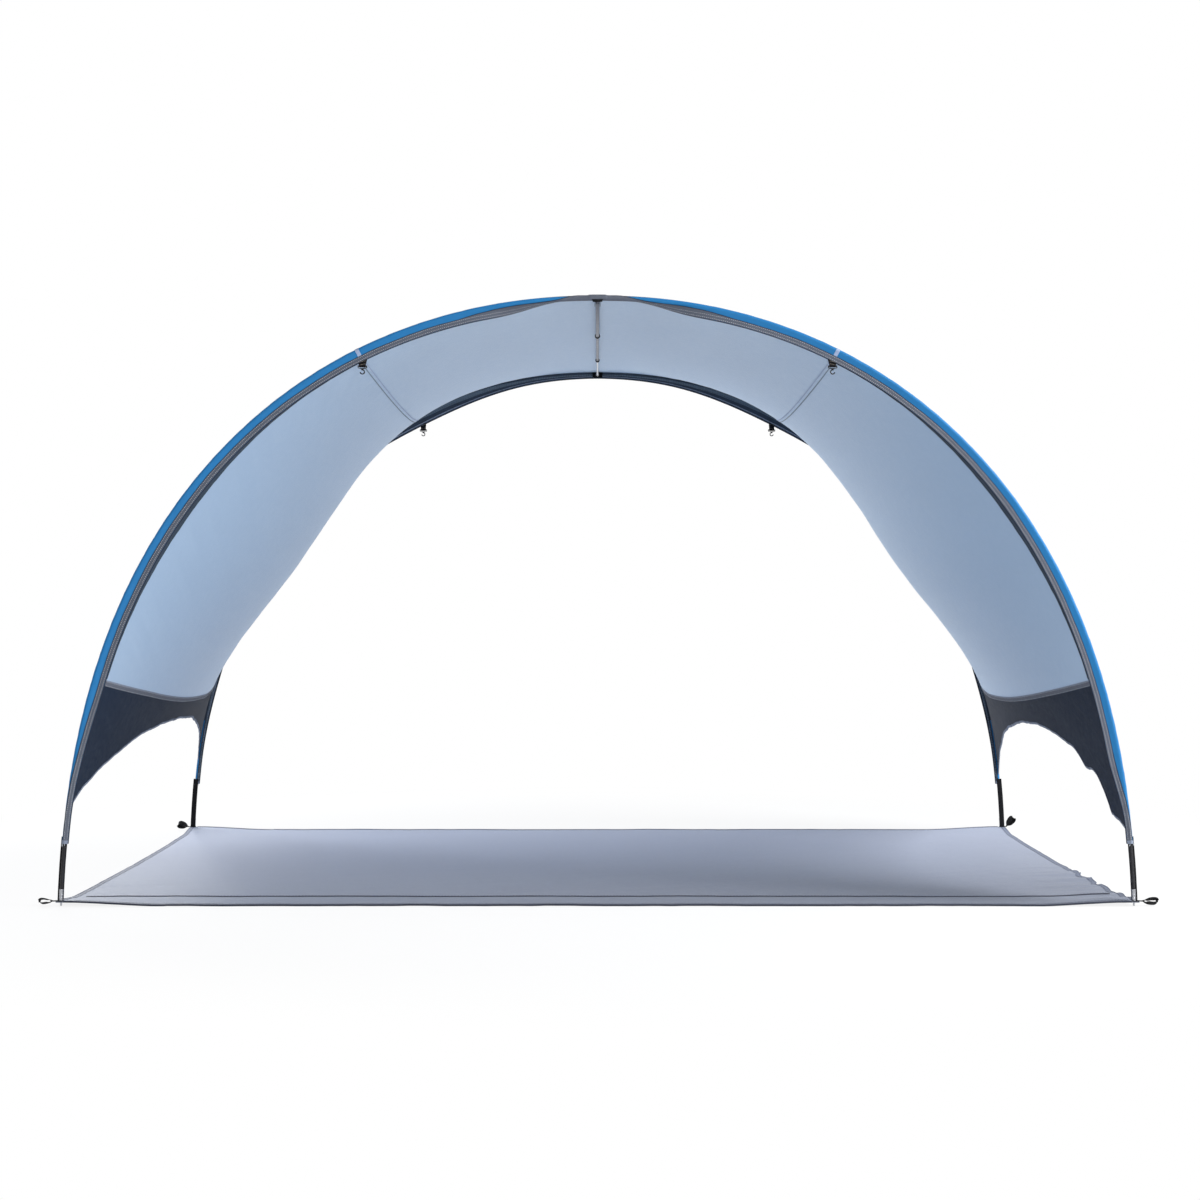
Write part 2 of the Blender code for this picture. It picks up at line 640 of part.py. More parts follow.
def stake_loop(hoop, side, name, tilt):
    """A loop of webbing with a gathered neck and an open eye, hinged at its neck."""
    pivot = foot_centre(hoop, side) + (side * LOOP_REACH, 0, (STRAP_FOOT_BASE + STRAP_FOOT_TOP) / 2)
    lean = math.radians(tilt)
    along = np.array((side * math.cos(lean), 0, math.sin(lean)))
    above = np.array((-side * math.sin(lean), 0, math.cos(lean)))
    neck_end = LOOP_NECK_LENGTH + LOOP_FLARE_LENGTH
    fold = LOOP_LENGTH - LOOP_HALF_HEIGHT
    rounding = WEBBING_THICKNESS * math.sqrt(0.5)
    outline = [(-WEBBING_THICKNESS, 0.0), (-rounding, rounding), (0.0, WEBBING_THICKNESS),
               (LOOP_NECK_LENGTH, WEBBING_THICKNESS),
               (neck_end, LOOP_HALF_HEIGHT), (fold, LOOP_HALF_HEIGHT),
               (fold + LOOP_HALF_HEIGHT * math.sin(math.pi / 4), LOOP_HALF_HEIGHT * math.cos(math.pi / 4)),
               (LOOP_LENGTH, 0.0)]
    outline += [(reach, -height) for reach, height in outline[-2:0:-1]]

    def half_width(reach):
        flare = smooth_step((reach - LOOP_NECK_LENGTH) / LOOP_FLARE_LENGTH)
        return (LOOP_NECK_WIDTH + (LOOP_WIDTH - LOOP_NECK_WIDTH) * flare) / 2

    rings = [[pivot + reach * along + height * above + np.array((0, way * half_width(reach), 0))
              for reach, height in outline] for way in (-1, 1)]
    made = skin(name, rings, "webbing", origin=pivot)
    inner = LOOP_HALF_HEIGHT - WEBBING_THICKNESS
    eye = [(neck_end, inner), (fold, inner),
           (fold + inner * math.sin(math.pi / 4), inner * math.cos(math.pi / 4)), (fold + inner, 0.0)]
    eye += [(reach, -height) for reach, height in eye[-2::-1]]
    cutter = [[pivot + reach * along + height * above + np.array((0, way * LOOP_WIDTH, 0))
               for reach, height in eye] for way in (-1, 1)]
    combine(made, skin(name + "_eye", cutter, None), "DIFFERENCE")
    return made


# Side hooks

def hook_pivot(hoop, side):
    """The centre of a hook's bar, and the slope of the sleeve's edge above it."""
    at = ROOF_SEAM_AT
    centre, normal = hoop_frame(at)
    edge = centre - tail_end(hoop, np.asarray(at)) * normal
    slope = -normal[0] / normal[2]
    return np.array((-side * edge[0], hoop * HALF_DEPTH, edge[2] - TAB_DROP)), slope


def hook_tab(hoop, side, name):
    """The webbing tab that hangs from the sleeve's edge and holds the hook's bar in its fold."""
    pivot, slope = hook_pivot(hoop, side)
    start = math.acos(WEBBING_THICKNESS / FOLD_RADIUS)
    angles = np.linspace(start, -math.pi - start, BAR_SIDES)
    rings = []
    for way in (-1, 1):
        top_x = way * TAB_TOP_WIDTH / 2
        top_z = TAB_DROP + top_x * slope * -side - GAP
        ring = [(top_x, WEBBING_THICKNESS, top_z)]
        ring += [(way * TAB_WIDTH / 2, FOLD_RADIUS * math.cos(angle), FOLD_RADIUS * math.sin(angle))
                 for angle in angles]
        ring.append((top_x, -WEBBING_THICKNESS, top_z))
        rings.append(np.array(ring) + pivot)
    made = skin(name, rings, "webbing", origin=pivot)
    bore = [circle_ring(pivot + (way * TAB_TOP_WIDTH, 0, 0), (0, 1, 0), (0, 0, 1), FOLD_BORE, BAR_SIDES)
            for way in (-1, 1)]
    combine(made, skin(name + "_fold", bore, None), "DIFFERENCE")
    return made


def arc_points(centre, radius, start, end, count):
    """Points along an arc, as pairs."""
    return [(centre[0] + radius * math.cos(angle), centre[1] + radius * math.sin(angle))
            for angle in np.linspace(start, end, count)]


def side_hook(hoop, side, name):
    """A flat moulded hook: a bar in the webbing's fold, a slot under it and an open C below,
    whose mouth faces outward."""
    pivot, _ = hook_pivot(hoop, side)
    half_slot = TAB_WIDTH / 2 + 2 * GAP
    half_frame = half_slot + HOOK_ARM
    yoke_top = -HOOK_SLOT_DROP
    yoke_low = yoke_top - HOOK_YOKE
    centre = (0.0, yoke_low - HOOK_RADIUS)
    half_neck = HOOK_NECK / 2
    outline = [(-half_frame, BAR_HALF), (half_frame, BAR_HALF), (half_frame, yoke_top), (half_neck, yoke_low)]
    outline += arc_points(centre, HOOK_BORE, MOUTH_FROM, MOUTH_TO + 2 * math.pi, HOOK_INNER_POINTS)
    outline += arc_points(centre, HOOK_RADIUS, MOUTH_TO + 2 * math.pi, math.pi - MOUTH_FROM, HOOK_OUTER_POINTS)
    outline += [(-half_neck, yoke_low), (-half_frame, yoke_top)]
    rings = [[pivot + (side * across, way * HOOK_THICKNESS / 2, height) for across, height in outline]
             for way in (-1, 1)]
    made = skin(name, rings, "hook_plastic", origin=pivot)
    slot = block(name + "_slot", pivot + (-half_slot, -HOOK_THICKNESS, yoke_top),
                 pivot + (half_slot, HOOK_THICKNESS, -BAR_HALF))
    combine(made, slot, "DIFFERENCE")
    return made


# Ridge pole

POCKET_TOP = APEX_HEIGHT - TAIL_HALF - GAP
POCKET_DEPTH = POCKET_WALL + GAP + 2 * RIDGE_RADIUS + POCKET_LAP
RIDGE_HEIGHT = POCKET_TOP - POCKET_WALL - GAP - RIDGE_RADIUS
RIDGE_INSET = SLEEVE_SEAM + POCKET_WALL + GAP + RIDGE_RADIUS
RIDGE_START = -HALF_DEPTH + RIDGE_INSET
RIDGE_END = HALF_DEPTH - RIDGE_INSET
RIDGE_RUN = RIDGE_END - RIDGE_START
OUTER_END = RIDGE_START + OUTER_SHARE * RIDGE_RUN
MIDDLE_END = RIDGE_START + MIDDLE_SHARE * RIDGE_RUN
OUTER_BORE = RIDGE_RADIUS - RIDGE_WALL
MIDDLE_RADIUS = OUTER_BORE - GAP
MIDDLE_BORE = MIDDLE_RADIUS - RIDGE_WALL
INNER_RADIUS = MIDDLE_BORE - GAP


def ridge_rings(profile):
    """Rings round the ridge pole's line, one for each place along it and radius."""
    return [circle_ring((0, at, RIDGE_HEIGHT), (1, 0, 0), (0, 0, 1), radius, RIDGE_SIDES)
            for at, radius in profile]


def dome(at, radius, way):
    """The profile of a rounded end, from its tip back to its full radius."""
    angles = [math.pi / 2 * (step + 1) / (DOME_STEPS + 1) for step in range(DOME_STEPS)]
    return [(at + way * radius * math.cos(angle), radius * math.sin(angle)) for angle in angles]


def make_ridge_pole():
    """Three telescopic tubes with a collar at each step and a tip at the rear."""
    hinge = (0.0, RIDGE_START, RIDGE_HEIGHT)
    outer = dome(RIDGE_START, RIDGE_RADIUS, -1) + [(RIDGE_START, RIDGE_RADIUS), (OUTER_END, RIDGE_RADIUS),
                                                   (OUTER_END, OUTER_BORE), (RIDGE_START, OUTER_BORE)]
    skin("ridge_tube_outer", ridge_rings(outer), "ridge_metal", origin=hinge)
    middle = [(OUTER_END - TUBE_OVERLAP, MIDDLE_RADIUS), (MIDDLE_END, MIDDLE_RADIUS),
              (MIDDLE_END, MIDDLE_BORE), (OUTER_END - TUBE_OVERLAP, MIDDLE_BORE)]
    skin("ridge_tube_middle", ridge_rings(middle), "ridge_metal", closed=True, origin=hinge)
    inner = [(MIDDLE_END - TUBE_OVERLAP, INNER_RADIUS), (RIDGE_END, INNER_RADIUS)]
    skin("ridge_tube_inner", ridge_rings(inner), "ridge_metal", origin=hinge)
    ridge_collar("ridge_collar_front", OUTER_END, RIDGE_RADIUS, MIDDLE_RADIUS)
    ridge_collar("ridge_collar_rear", MIDDLE_END, MIDDLE_RADIUS, INNER_RADIUS)
    bore = INNER_RADIUS + GAP
    mouth = RIDGE_END - RIDGE_TIP_LENGTH
    tip = [(RIDGE_END + GAP, bore), (mouth, bore), (mouth, RIDGE_RADIUS), (RIDGE_END, RIDGE_RADIUS)]
    tip += dome(RIDGE_END, RIDGE_RADIUS, 1)[::-1]
    skin("ridge_tip", ridge_rings(tip), "bright_metal", origin=hinge)


def ridge_collar(name, at, radius, passing):
    """A clamp collar over a tube's end, with a lip round the thinner tube that leaves it."""
    bore = radius + GAP
    outside = bore + COLLAR_WALL
    profile = [(at - COLLAR_GRIP, bore), (at - COLLAR_GRIP, outside), (at + COLLAR_LIP, outside),
               (at + COLLAR_LIP, passing + GAP), (at + GAP, passing + GAP), (at + GAP, bore)]
    skin(name, ridge_rings(profile), "hook_plastic", closed=True, origin=(0.0, RIDGE_START, RIDGE_HEIGHT))


def ridge_pocket(hoop, name):
    """A band over the sleeve at the apex with a pocket behind it for the ridge pole's end.
    The pocket is open below and towards the pole."""
    plane = hoop * HALF_DEPTH
    inner = SLEEVE_RADIUS + GAP
    outer = inner + POCKET_WALL
    front_wall = RIDGE_INSET - RIDGE_RADIUS - GAP - POCKET_WALL
    slope = (SLEEVE_RADIUS - TAIL_HALF) / SLEEVE_SEAM
    angles = np.linspace(math.pi / 2, 3 * math.pi / 2, BAND_STEPS + 1)
    band = [(outer * math.cos(angle), outer * math.sin(angle)) for angle in angles]
    band += [(front_wall + POCKET_WALL, -outer + slope * front_wall),
             (front_wall + POCKET_WALL, -inner + slope * front_wall)]
    band += [(inner * math.cos(angle), inner * math.sin(angle)) for angle in angles[::-1]]
    rings = []
    for way in (-1, 1):
        ring = []
        for reach, height in band:
            width = BAND_LOW_WIDTH + (BAND_TOP_WIDTH - BAND_LOW_WIDTH) * (height + outer) / (2 * outer)
            ring.append((way * width / 2, plane - hoop * reach, APEX_HEIGHT + height))
        rings.append(ring)
    made = skin(name, rings, "webbing")
    half_bore = RIDGE_RADIUS + GAP
    half_box = half_bore + POCKET_WALL
    near, far = front_wall, RIDGE_INSET + POCKET_LENGTH
    low = POCKET_TOP - POCKET_DEPTH
    sides = sorted((plane - hoop * near, plane - hoop * far))
    box = block(name + "_box", (-half_box, sides[0], low), (half_box, sides[1], POCKET_TOP))
    combine(made, box, "UNION")
    sides = sorted((plane - hoop * (near + POCKET_WALL), plane - hoop * (far + OVERRUN)))
    space = block(name + "_space", (-half_bore, sides[0], low - OVERRUN),
                  (half_bore, sides[1], POCKET_TOP - POCKET_WALL))
    combine(made, space, "DIFFERENCE")
    return made


def main():
    """Build the whole shelter."""
    clear_scene()
    for hoop, word in ((FRONT, "front"), (REAR, "rear")):
        for index in range(SECTION_COUNT):
            pole_section(hoop, index, f"{word}_pole_section_{index + 1}")
        shock_cord(hoop, word + "_shock_cord")
        sleeve(hoop, word + "_sleeve")
        ridge_pocket(hoop, "ridge_pocket_" + word)
    for word, (hoop, side) in CORNERS.items():
        pole_tip(hoop, side, "pole_tip_" + word)
        eyelet(hoop, side, "eyelet_" + word)
        leg_strap(hoop, side, "leg_strap_" + word)
        stake_loop(hoop, side, "stake_loop_" + word, LOOP_TILTS[word])
        hook_tab(hoop, side, "hook_tab_" + word)
        side_hook(hoop, side, "side_hook_" + word)
    make_canopy()
    make_ground_sheet()
    make_ridge_pole()


main()
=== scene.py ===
"""The looks of an arch beach shelter: satin-lined canopy cloth, navy skirts, taped seams and
double stitching, pole sleeves, a ground sheet, webbing, moulded hooks and metal poles.

Everything is in metres with +Z up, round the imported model, which stays as it is. The front hoop
stands at -Y, and distances along a hoop are counted from its apex, left negative.
"""

import json
import logging
import math
from dataclasses import dataclass, field
from enum import Enum
from typing import Callable, Sequence

import bmesh
import bpy
import numpy as np
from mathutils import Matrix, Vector


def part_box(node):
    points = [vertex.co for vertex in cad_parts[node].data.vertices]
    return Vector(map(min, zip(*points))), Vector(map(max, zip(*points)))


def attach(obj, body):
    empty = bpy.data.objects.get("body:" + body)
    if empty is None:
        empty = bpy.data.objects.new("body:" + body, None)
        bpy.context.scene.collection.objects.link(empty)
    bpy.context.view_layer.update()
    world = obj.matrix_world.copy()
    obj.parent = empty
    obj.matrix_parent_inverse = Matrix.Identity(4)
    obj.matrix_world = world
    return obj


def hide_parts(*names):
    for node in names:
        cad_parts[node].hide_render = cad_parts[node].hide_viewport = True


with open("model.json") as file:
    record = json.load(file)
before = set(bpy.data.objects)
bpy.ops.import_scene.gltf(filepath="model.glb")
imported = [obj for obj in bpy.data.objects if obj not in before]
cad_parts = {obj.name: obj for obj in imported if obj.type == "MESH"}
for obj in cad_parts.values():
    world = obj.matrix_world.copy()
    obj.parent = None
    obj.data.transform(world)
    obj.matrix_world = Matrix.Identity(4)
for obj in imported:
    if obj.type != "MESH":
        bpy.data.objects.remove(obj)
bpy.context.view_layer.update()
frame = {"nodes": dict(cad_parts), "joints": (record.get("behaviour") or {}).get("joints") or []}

LOG = logging.getLogger("shelter")
MERGE = 1e-6
TINY = 1e-9
MM = 0.001
HOOP_PLANE = 0.89
FLOOR_WHITE = 0.86
AMBIENT = 0.5
ACROSS = np.array((1.0, 0.0, 0.0))
REARWARD = np.array((0.0, 1.0, 0.0))
UPWARD = np.array((0.0, 0.0, 1.0))
LIGHTS = [
    ("key", (4.6, -1.6, 3.4), (0.0, 0.0, 0.7), 2.6, 315.0, (1.0, 0.99, 0.97)),
    ("fill", (2.8, -7.0, 0.9), (-0.1, 0.0, 0.8), 3.0, 200.0, (0.97, 0.985, 1.0)),
    ("back", (-2.4, 2.4, 1.5), (-0.9, -0.4, 0.0), 1.6, 60.0, (0.98, 0.99, 1.0)),
]

Array = np.ndarray
Outline = Sequence[tuple[float, float]]
Material = bpy.types.Material
Socket = bpy.types.NodeSocket


class Hoop(Enum):
    """Which hoop a piece belongs to. The value is the sign of its plane's Y."""

    FRONT = -1
    REAR = 1


class Side(Enum):
    """Which side a piece is on. The value is the sign of X."""

    LEFT = -1
    RIGHT = 1


class Held(Enum):
    """How a sheet of cloth is held."""

    STRETCHED = "stretched"
    LAID = "laid"


CORNERS = {f"{hoop.name.lower()}_{side.name.lower()}": (hoop, side) for hoop in Hoop for side in Side}


def smooth_step(value: Array | float) -> Array:
    """An even S-curve: 3 v^2 - 2 v^3, with the value held between 0 and 1."""
    held = np.clip(value, 0.0, 1.0)
    return held * held * (3 - 2 * held)


def bell(value: Array | float) -> Array:
    """A bell curve: e to the power of minus the square of the distance in widths."""
    return np.exp(-np.square(value))


def knotted(value: Array, knots: Sequence[tuple[float, float]]) -> Array:
    """A smooth curve through knots: between two of them the cubic that has their heights, and as
    slopes there the mean slopes to their neighbours.

    Args:
        value: Where on the curve.
        knots: Places in rising order and the heights there.

    Returns:
        The heights of the curve.
    """
    at, height = (np.array(row) for row in zip(*knots))
    slope = np.gradient(height, at)
    step = np.clip(np.searchsorted(at, value) - 1, 0, len(at) - 2)
    span = at[step + 1] - at[step]
    t = np.clip((value - at[step]) / span, 0, 1)
    rise = height[step + 1] - height[step]
    ends = slope[step] * span * t * (1 - t) ** 2 - slope[step + 1] * span * t * t * (1 - t)
    return height[step] + rise * t * t * (3 - 2 * t) + ends


def unit(vectors: Array) -> Array:
    """Vectors, along the last axis, divided by their lengths."""
    return vectors / np.maximum(np.linalg.norm(vectors, axis=-1, keepdims=True), TINY)


def circle(radius: float, sides: int) -> Array:
    """Points of a round profile: r (cos a, sin a)."""
    turn = np.arange(sides) * 2 * np.pi / sides
    return radius * np.stack([np.cos(turn), np.sin(turn)], axis=-1)


def placed(x: Array | float, y: Array | float, z: Array | float) -> Array:
    """Points from their three coordinates, each of which may be one number for all."""
    return np.stack(np.broadcast_arrays(x, y, z), axis=-1)


def spaced(start: float, end: float, step: float) -> Array:
    """Even places from start to end, at least two steps of about the given length."""
    return np.linspace(start, end, max(int(abs(end - start) / step), 2) + 1)


def paired(first: Array | float, second: Array | float) -> tuple[Array, Array]:
    """Two arrays of numbers, or single numbers, spread to the same shape."""
    return tuple(np.broadcast_arrays(np.asarray(first, dtype=float), np.asarray(second, dtype=float)))


def all_along(vector: Array, path: Array) -> Array:
    """One vector repeated for each point of a path."""
    return np.broadcast_to(vector, path.shape)


def square_to(vectors: Array, along: Array) -> Array:
    """Unit vectors at a right angle to others: v - (v . a) a, made one long."""
    return unit(vectors - np.sum(vectors * along, axis=1, keepdims=True) * along)


def travel(path: Array) -> Array:
    """Distance of each point of a path from its start, along it."""
    return np.concatenate([[0.0], np.cumsum(np.linalg.norm(np.diff(path, axis=0), axis=1))])


def waves(at: Array, seed: int, longest: float, count: int = 5) -> Array:
    """Uneven waves between about -1 and 1: the mean of sine curves whose lengths shrink by
    about a third each time, with seeded phases.

    Args:
        at: Distances along the wave.
        seed: Seed of the phases.
        longest: Length of the longest wave.
        count: How many sine curves are added.

    Returns:
        The heights.
    """
    draw = np.random.default_rng(seed)
    total = np.zeros_like(np.asarray(at, dtype=float))
    for step in range(count):
        length = longest * 0.63 ** step * draw.uniform(0.85, 1.15)
        total += np.sin(2 * np.pi * np.asarray(at) / length + draw.uniform(0, 2 * np.pi)) * 0.75 ** step
    return total / (0.5 * count)


@dataclass
class Patch:
    """One grid of a surface.

    Attributes:
        points: Rows by columns by three coordinates.
        finish: Index of its material on the piece.
        wrap: Whether the last column joins the first.
        flat: The piece's own map in metres, rows by columns by two, or None for arc lengths.
    """

    points: Array
    finish: int = 0
    wrap: bool = False
    flat: Array | None = None

    def lengths(self) -> Array:
        """The map of the patch: arc length along each row and column from the first.

        Returns:
            Rows by columns by two, in metres.
        """
        rows, columns = self.points.shape[:2]
        down = np.zeros((rows, columns))
        across = np.zeros((rows, columns))
        down[1:] = np.cumsum(np.linalg.norm(np.diff(self.points, axis=0), axis=2), axis=0)
        across[:, 1:] = np.cumsum(np.linalg.norm(np.diff(self.points, axis=1), axis=2), axis=1)
        return np.stack([across, down], axis=-1)


def raw_mesh(name: str, points: Sequence[Array], faces: Sequence[Array]) -> tuple[bpy.types.Mesh, Array]:
    """A mesh from lists of points and of faces, which all have the same number of corners.

    Args:
        name: Name of the mesh.
        points: Arrays of points by three.
        faces: Arrays of faces by corners, counted over all the points.

    Returns:
        The mesh and its faces' corners.
    """
    places, corners = np.concatenate(points).astype(np.float32), np.concatenate(faces).astype(np.int32)
    mesh = bpy.data.meshes.new(name)
    mesh.vertices.add(len(places))
    mesh.vertices.foreach_set("co", places.ravel())
    mesh.loops.add(corners.size)
    mesh.loops.foreach_set("vertex_index", corners.ravel())
    mesh.polygons.add(len(corners))
    starts = np.arange(0, corners.size, corners.shape[1], dtype=np.int32)
    mesh.polygons.foreach_set("loop_start", starts)
    return mesh, corners


def build_piece(name: str, patches: Sequence[Patch], finishes: Sequence[Material],
                smooth_below: float = 40.0, body: str = "root", replaces: Sequence[str] = ()) -> bpy.types.Object:
    """One piece from surface grids, merged where they meet, with its faces pointing out.

    Args:
        name: Name of the piece.
        patches: Its grids.
        finishes: Its materials, by the patches' finish indices.
        smooth_below: Edges whose faces meet at less than this many degrees are shaded smooth.
        body: The body that it rides on.
        replaces: The nodes that it stands for.

    Returns:
        The finished object.
    """
    points, faces, marks, flats, offset = [], [], [], [], 0
    for patch in patches:
        grid = np.asarray(patch.points, dtype=float)
        flat = patch.flat if patch.flat is not None else patch.lengths()
        if patch.wrap:
            span = np.linalg.norm(grid[:, -1] - grid[:, 0], axis=-1)
            last = flat[:, -1] + np.stack([span, 0 * span], axis=-1)
            grid = np.concatenate([grid, grid[:, :1]], axis=1)
            flat = np.concatenate([flat, last[:, None]], axis=1)
        rows, columns = grid.shape[:2]
        index = offset + np.arange(rows * columns).reshape(rows, columns)
        quads = np.stack([index[:-1, :-1], index[1:, :-1], index[1:, 1:], index[:-1, 1:]], axis=-1)
        points.append(grid.reshape(-1, 3))
        faces.append(quads.reshape(-1, 4))
        flats.append(flat.reshape(-1, 2))
        marks.append(np.full(len(faces[-1]), patch.finish))
        offset += rows * columns
    mesh, corners = raw_mesh(name, points, faces)
    mesh.polygons.foreach_set("material_index", np.concatenate(marks).astype(np.int32))
    layer = mesh.uv_layers.new(name="flat")
    layer.data.foreach_set("uv", np.concatenate(flats)[corners.ravel()].astype(np.float32).ravel())
    mesh.update(calc_edges=True)
    mesh.validate()
    merge_doubles(mesh)
    return dress(name, mesh, finishes, smooth_below, body, replaces)


def merge_doubles(mesh: bpy.types.Mesh) -> None:
    """Merge a mesh's doubled points, drop its empty faces and turn all faces outward."""
    work = bmesh.new()
    work.from_mesh(mesh)
    bmesh.ops.remove_doubles(work, verts=work.verts, dist=MERGE)
    bmesh.ops.dissolve_degenerate(work, edges=work.edges, dist=MERGE)
    bmesh.ops.recalc_face_normals(work, faces=work.faces)
    work.to_mesh(mesh)
    work.free()


def dress(name: str, mesh: bpy.types.Mesh, finishes: Sequence[Material], smooth_below: float = 60.0,
          body: str = "root", replaces: Sequence[str] = ()) -> bpy.types.Object:
    """A mesh made into a finished piece that rides on its body.

    Args:
        name: Name of the piece.
        mesh: Its mesh, in place.
        finishes: Its materials.
        smooth_below: Edges whose faces meet at less than this many degrees are shaded smooth.
        body: The body that it rides on.
        replaces: The nodes that it stands for.

    Returns:
        The finished object.
    """
    mesh.shade_smooth()
    mesh.set_sharp_from_angle(angle=math.radians(smooth_below))
    made = linked(name, mesh)
    for finish in finishes:
        mesh.materials.append(finish)
    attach(made, body)
    if replaces:
        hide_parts(*replaces)
    LOG.info("%s: %d faces on %s", name, len(mesh.polygons), body)
    return made


def thin_cloth(grid: Array, thickness: float, normal: Array | None = None, inner: int = 0) -> list[Patch]:
    """A closed sheet: the grid moved half its thickness along its normals both ways, with a
    strip along each of its four edges.

    Args:
        grid: Rows by columns by three, whose rows cross columns gives the outer side.
        thickness: Distance between the two faces.
        normal: Outward normals, or None to work them out from the grid.
        inner: Finish of the inner face. The rest has the first finish.

    Returns:
        The patches of the closed sheet.
    """
    if normal is None:
        normal = unit(np.cross(np.gradient(grid, axis=0), np.gradient(grid, axis=1)))
    top, low = grid + normal * thickness / 2, grid - normal * thickness / 2
    flat = Patch(grid).lengths()
    made = [Patch(top, flat=flat), Patch(low[:, ::-1], inner, flat=flat[:, ::-1])]
    edges = ((top[0], low[0]), (low[-1], top[-1]), (low[:, 0], top[:, 0]), (top[:, -1], low[:, -1]))
    return made + [Patch(np.stack(pair)) for pair in edges]


def capped_rings(rings: Array) -> list[Patch]:
    """A closed solid from rings: the skin round them and a fan over each end, drawn as a grid
    whose last row is the end's middle point.

    Args:
        rings: Rings by points by three.

    Returns:
        The patches of the solid.
    """
    made = [Patch(rings, wrap=True)]
    for ring in (rings[0][::-1], rings[-1]):
        made.append(Patch(np.stack([ring, all_along(ring.mean(axis=0), ring)]), wrap=True))
    return made


def turned(profile: Outline, start: Array, way: Array, sides: int) -> Array:
    """Rings of a turned shape: radius times (cos a, sin a) round a straight axis, for each
    point of the profile.

    Args:
        profile: Distances along the axis and radii there.
        start: Where the axis begins.
        way: Direction of the axis.
        sides: Points round each ring.

    Returns:
        Rings by points by three.
    """
    way = unit(np.asarray(way, dtype=float))
    first = unit(np.cross(UPWARD if abs(way[2]) < 0.9 else ACROSS, way))
    second = np.cross(way, first)
    turn = circle(1.0, sides)
    spoke = turn[:, :1] * first + turn[:, 1:] * second
    at, radius = np.array(profile).T[:, :, None, None]
    return np.asarray(start) + at * way + radius * spoke


def rounded(profile: Outline, radius: float, steps: int = 3) -> Outline:
    """A profile whose inner corners are cut back by a radius and bridged by a quadratic arc:
    (1-t)^2 a + 2 t (1-t) corner + t^2 b.

    Args:
        profile: Points of the outline, open.
        radius: How far each corner is cut back along both of its edges.
        steps: Points on each arc, less one.

    Returns:
        The rounded outline.
    """
    made = [tuple(profile[0])]
    for before, corner, after in zip(profile, profile[1:], profile[2:]):
        before, corner, after = np.array(before), np.array(corner), np.array(after)
        back, on = before - corner, after - corner
        cut = min(radius, np.hypot(*back) / 2, np.hypot(*on) / 2)
        start, end = corner + unit(back) * cut, corner + unit(on) * cut
        for share in np.linspace(0, 1, steps + 1):
            made.append(tuple((1 - share) ** 2 * start + 2 * share * (1 - share) * corner + share ** 2 * end))
    made.append(tuple(profile[-1]))
    return made


def swept(path: Array, across: Array, above: Array, profile: Array) -> Array:
    """A profile of points (x, y), one or one per place, on a path: path + x across + y above."""
    profile = np.broadcast_to(profile, (len(path), *np.asarray(profile).shape[-2:]))
    return path[:, None] + profile[..., :1] * across[:, None] + profile[..., 1:] * above[:, None]


def strap_profile(width: float, thickness: float, steps: int = 4) -> Array:
    """The outline of a strap: a rectangle whose two ends are half circles.

    Args:
        width: Width over all.
        thickness: Thickness, and the diameter of the ends.
        steps: Points on each half circle, less one.

    Returns:
        Points by two.
    """
    half = thickness / 2
    turn = np.linspace(-np.pi / 2, np.pi / 2, steps + 1)
    right = np.stack([width / 2 - half + half * np.cos(turn), half * np.sin(turn)], axis=-1)
    return np.concatenate([right, -right])


def stitch_row(path: Array, above: Array, pitch: float, length: float, thick: float) -> tuple[Array, Array]:
    """Stitches along a path, each a flat double pyramid of six points: two tips along the
    path, two beside it and two above and below.

    Args:
        path: Points of the seam line.
        above: Unit normals of the cloth, one per point.
        pitch: Distance between two stitches.
        length: Length of a stitch.
        thick: Width of the thread.

    Returns:
        The points, six to a stitch, and the triangles.
    """
    travelled = travel(path)
    count = max(int(travelled[-1] / pitch), 1)
    at = (np.arange(count) + 0.5) * travelled[-1] / count
    place, up, ahead, behind = (
        np.stack([np.interp(where, travelled, values[:, axis]) for axis in range(3)], axis=-1)
        for where, values in ((at, path), (at, above), (at + pitch / 4, path), (at - pitch / 4, path)))
    up, along = unit(up), unit(ahead - behind)
    beside = np.cross(up, along)
    spokes = (along * length / 2, beside * thick / 2, up * thick * 0.35)
    shape = np.stack([place + way * spoke for spoke in spokes for way in (-1, 1)], axis=1)
    one = np.array([(0, 4, 2), (0, 3, 4), (0, 2, 5), (0, 5, 3), (1, 2, 4), (1, 4, 3), (1, 5, 2), (1, 3, 5)])
    return shape.reshape(-1, 3), (one[None] + 6 * np.arange(count)[:, None, None]).reshape(-1, 3)


def build_stitches(name: str, rows: Sequence[tuple[Array, Array]], finish: Material,
                   pitch: float = 0.0085, length: float = 0.006, thick: float = 0.0011) -> None:
    """All stitches of a seam as one piece.

    Args:
        name: Name of the piece.
        rows: For each row its path and the cloth's normals along it.
        finish: The thread.
        pitch: Distance between two stitches.
        length: Length of a stitch.
        thick: Width of the thread.
    """
    points, faces, offset = [], [], 0
    for path, above in rows:
        made, triangles = stitch_row(path, above, pitch, length, thick)
        points.append(made)
        faces.append(triangles + offset)
        offset += len(made)
    mesh, _ = raw_mesh(name, points, faces)
    mesh.update(calc_edges=True)
    merge_doubles(mesh)
    dress(name, mesh, [finish])


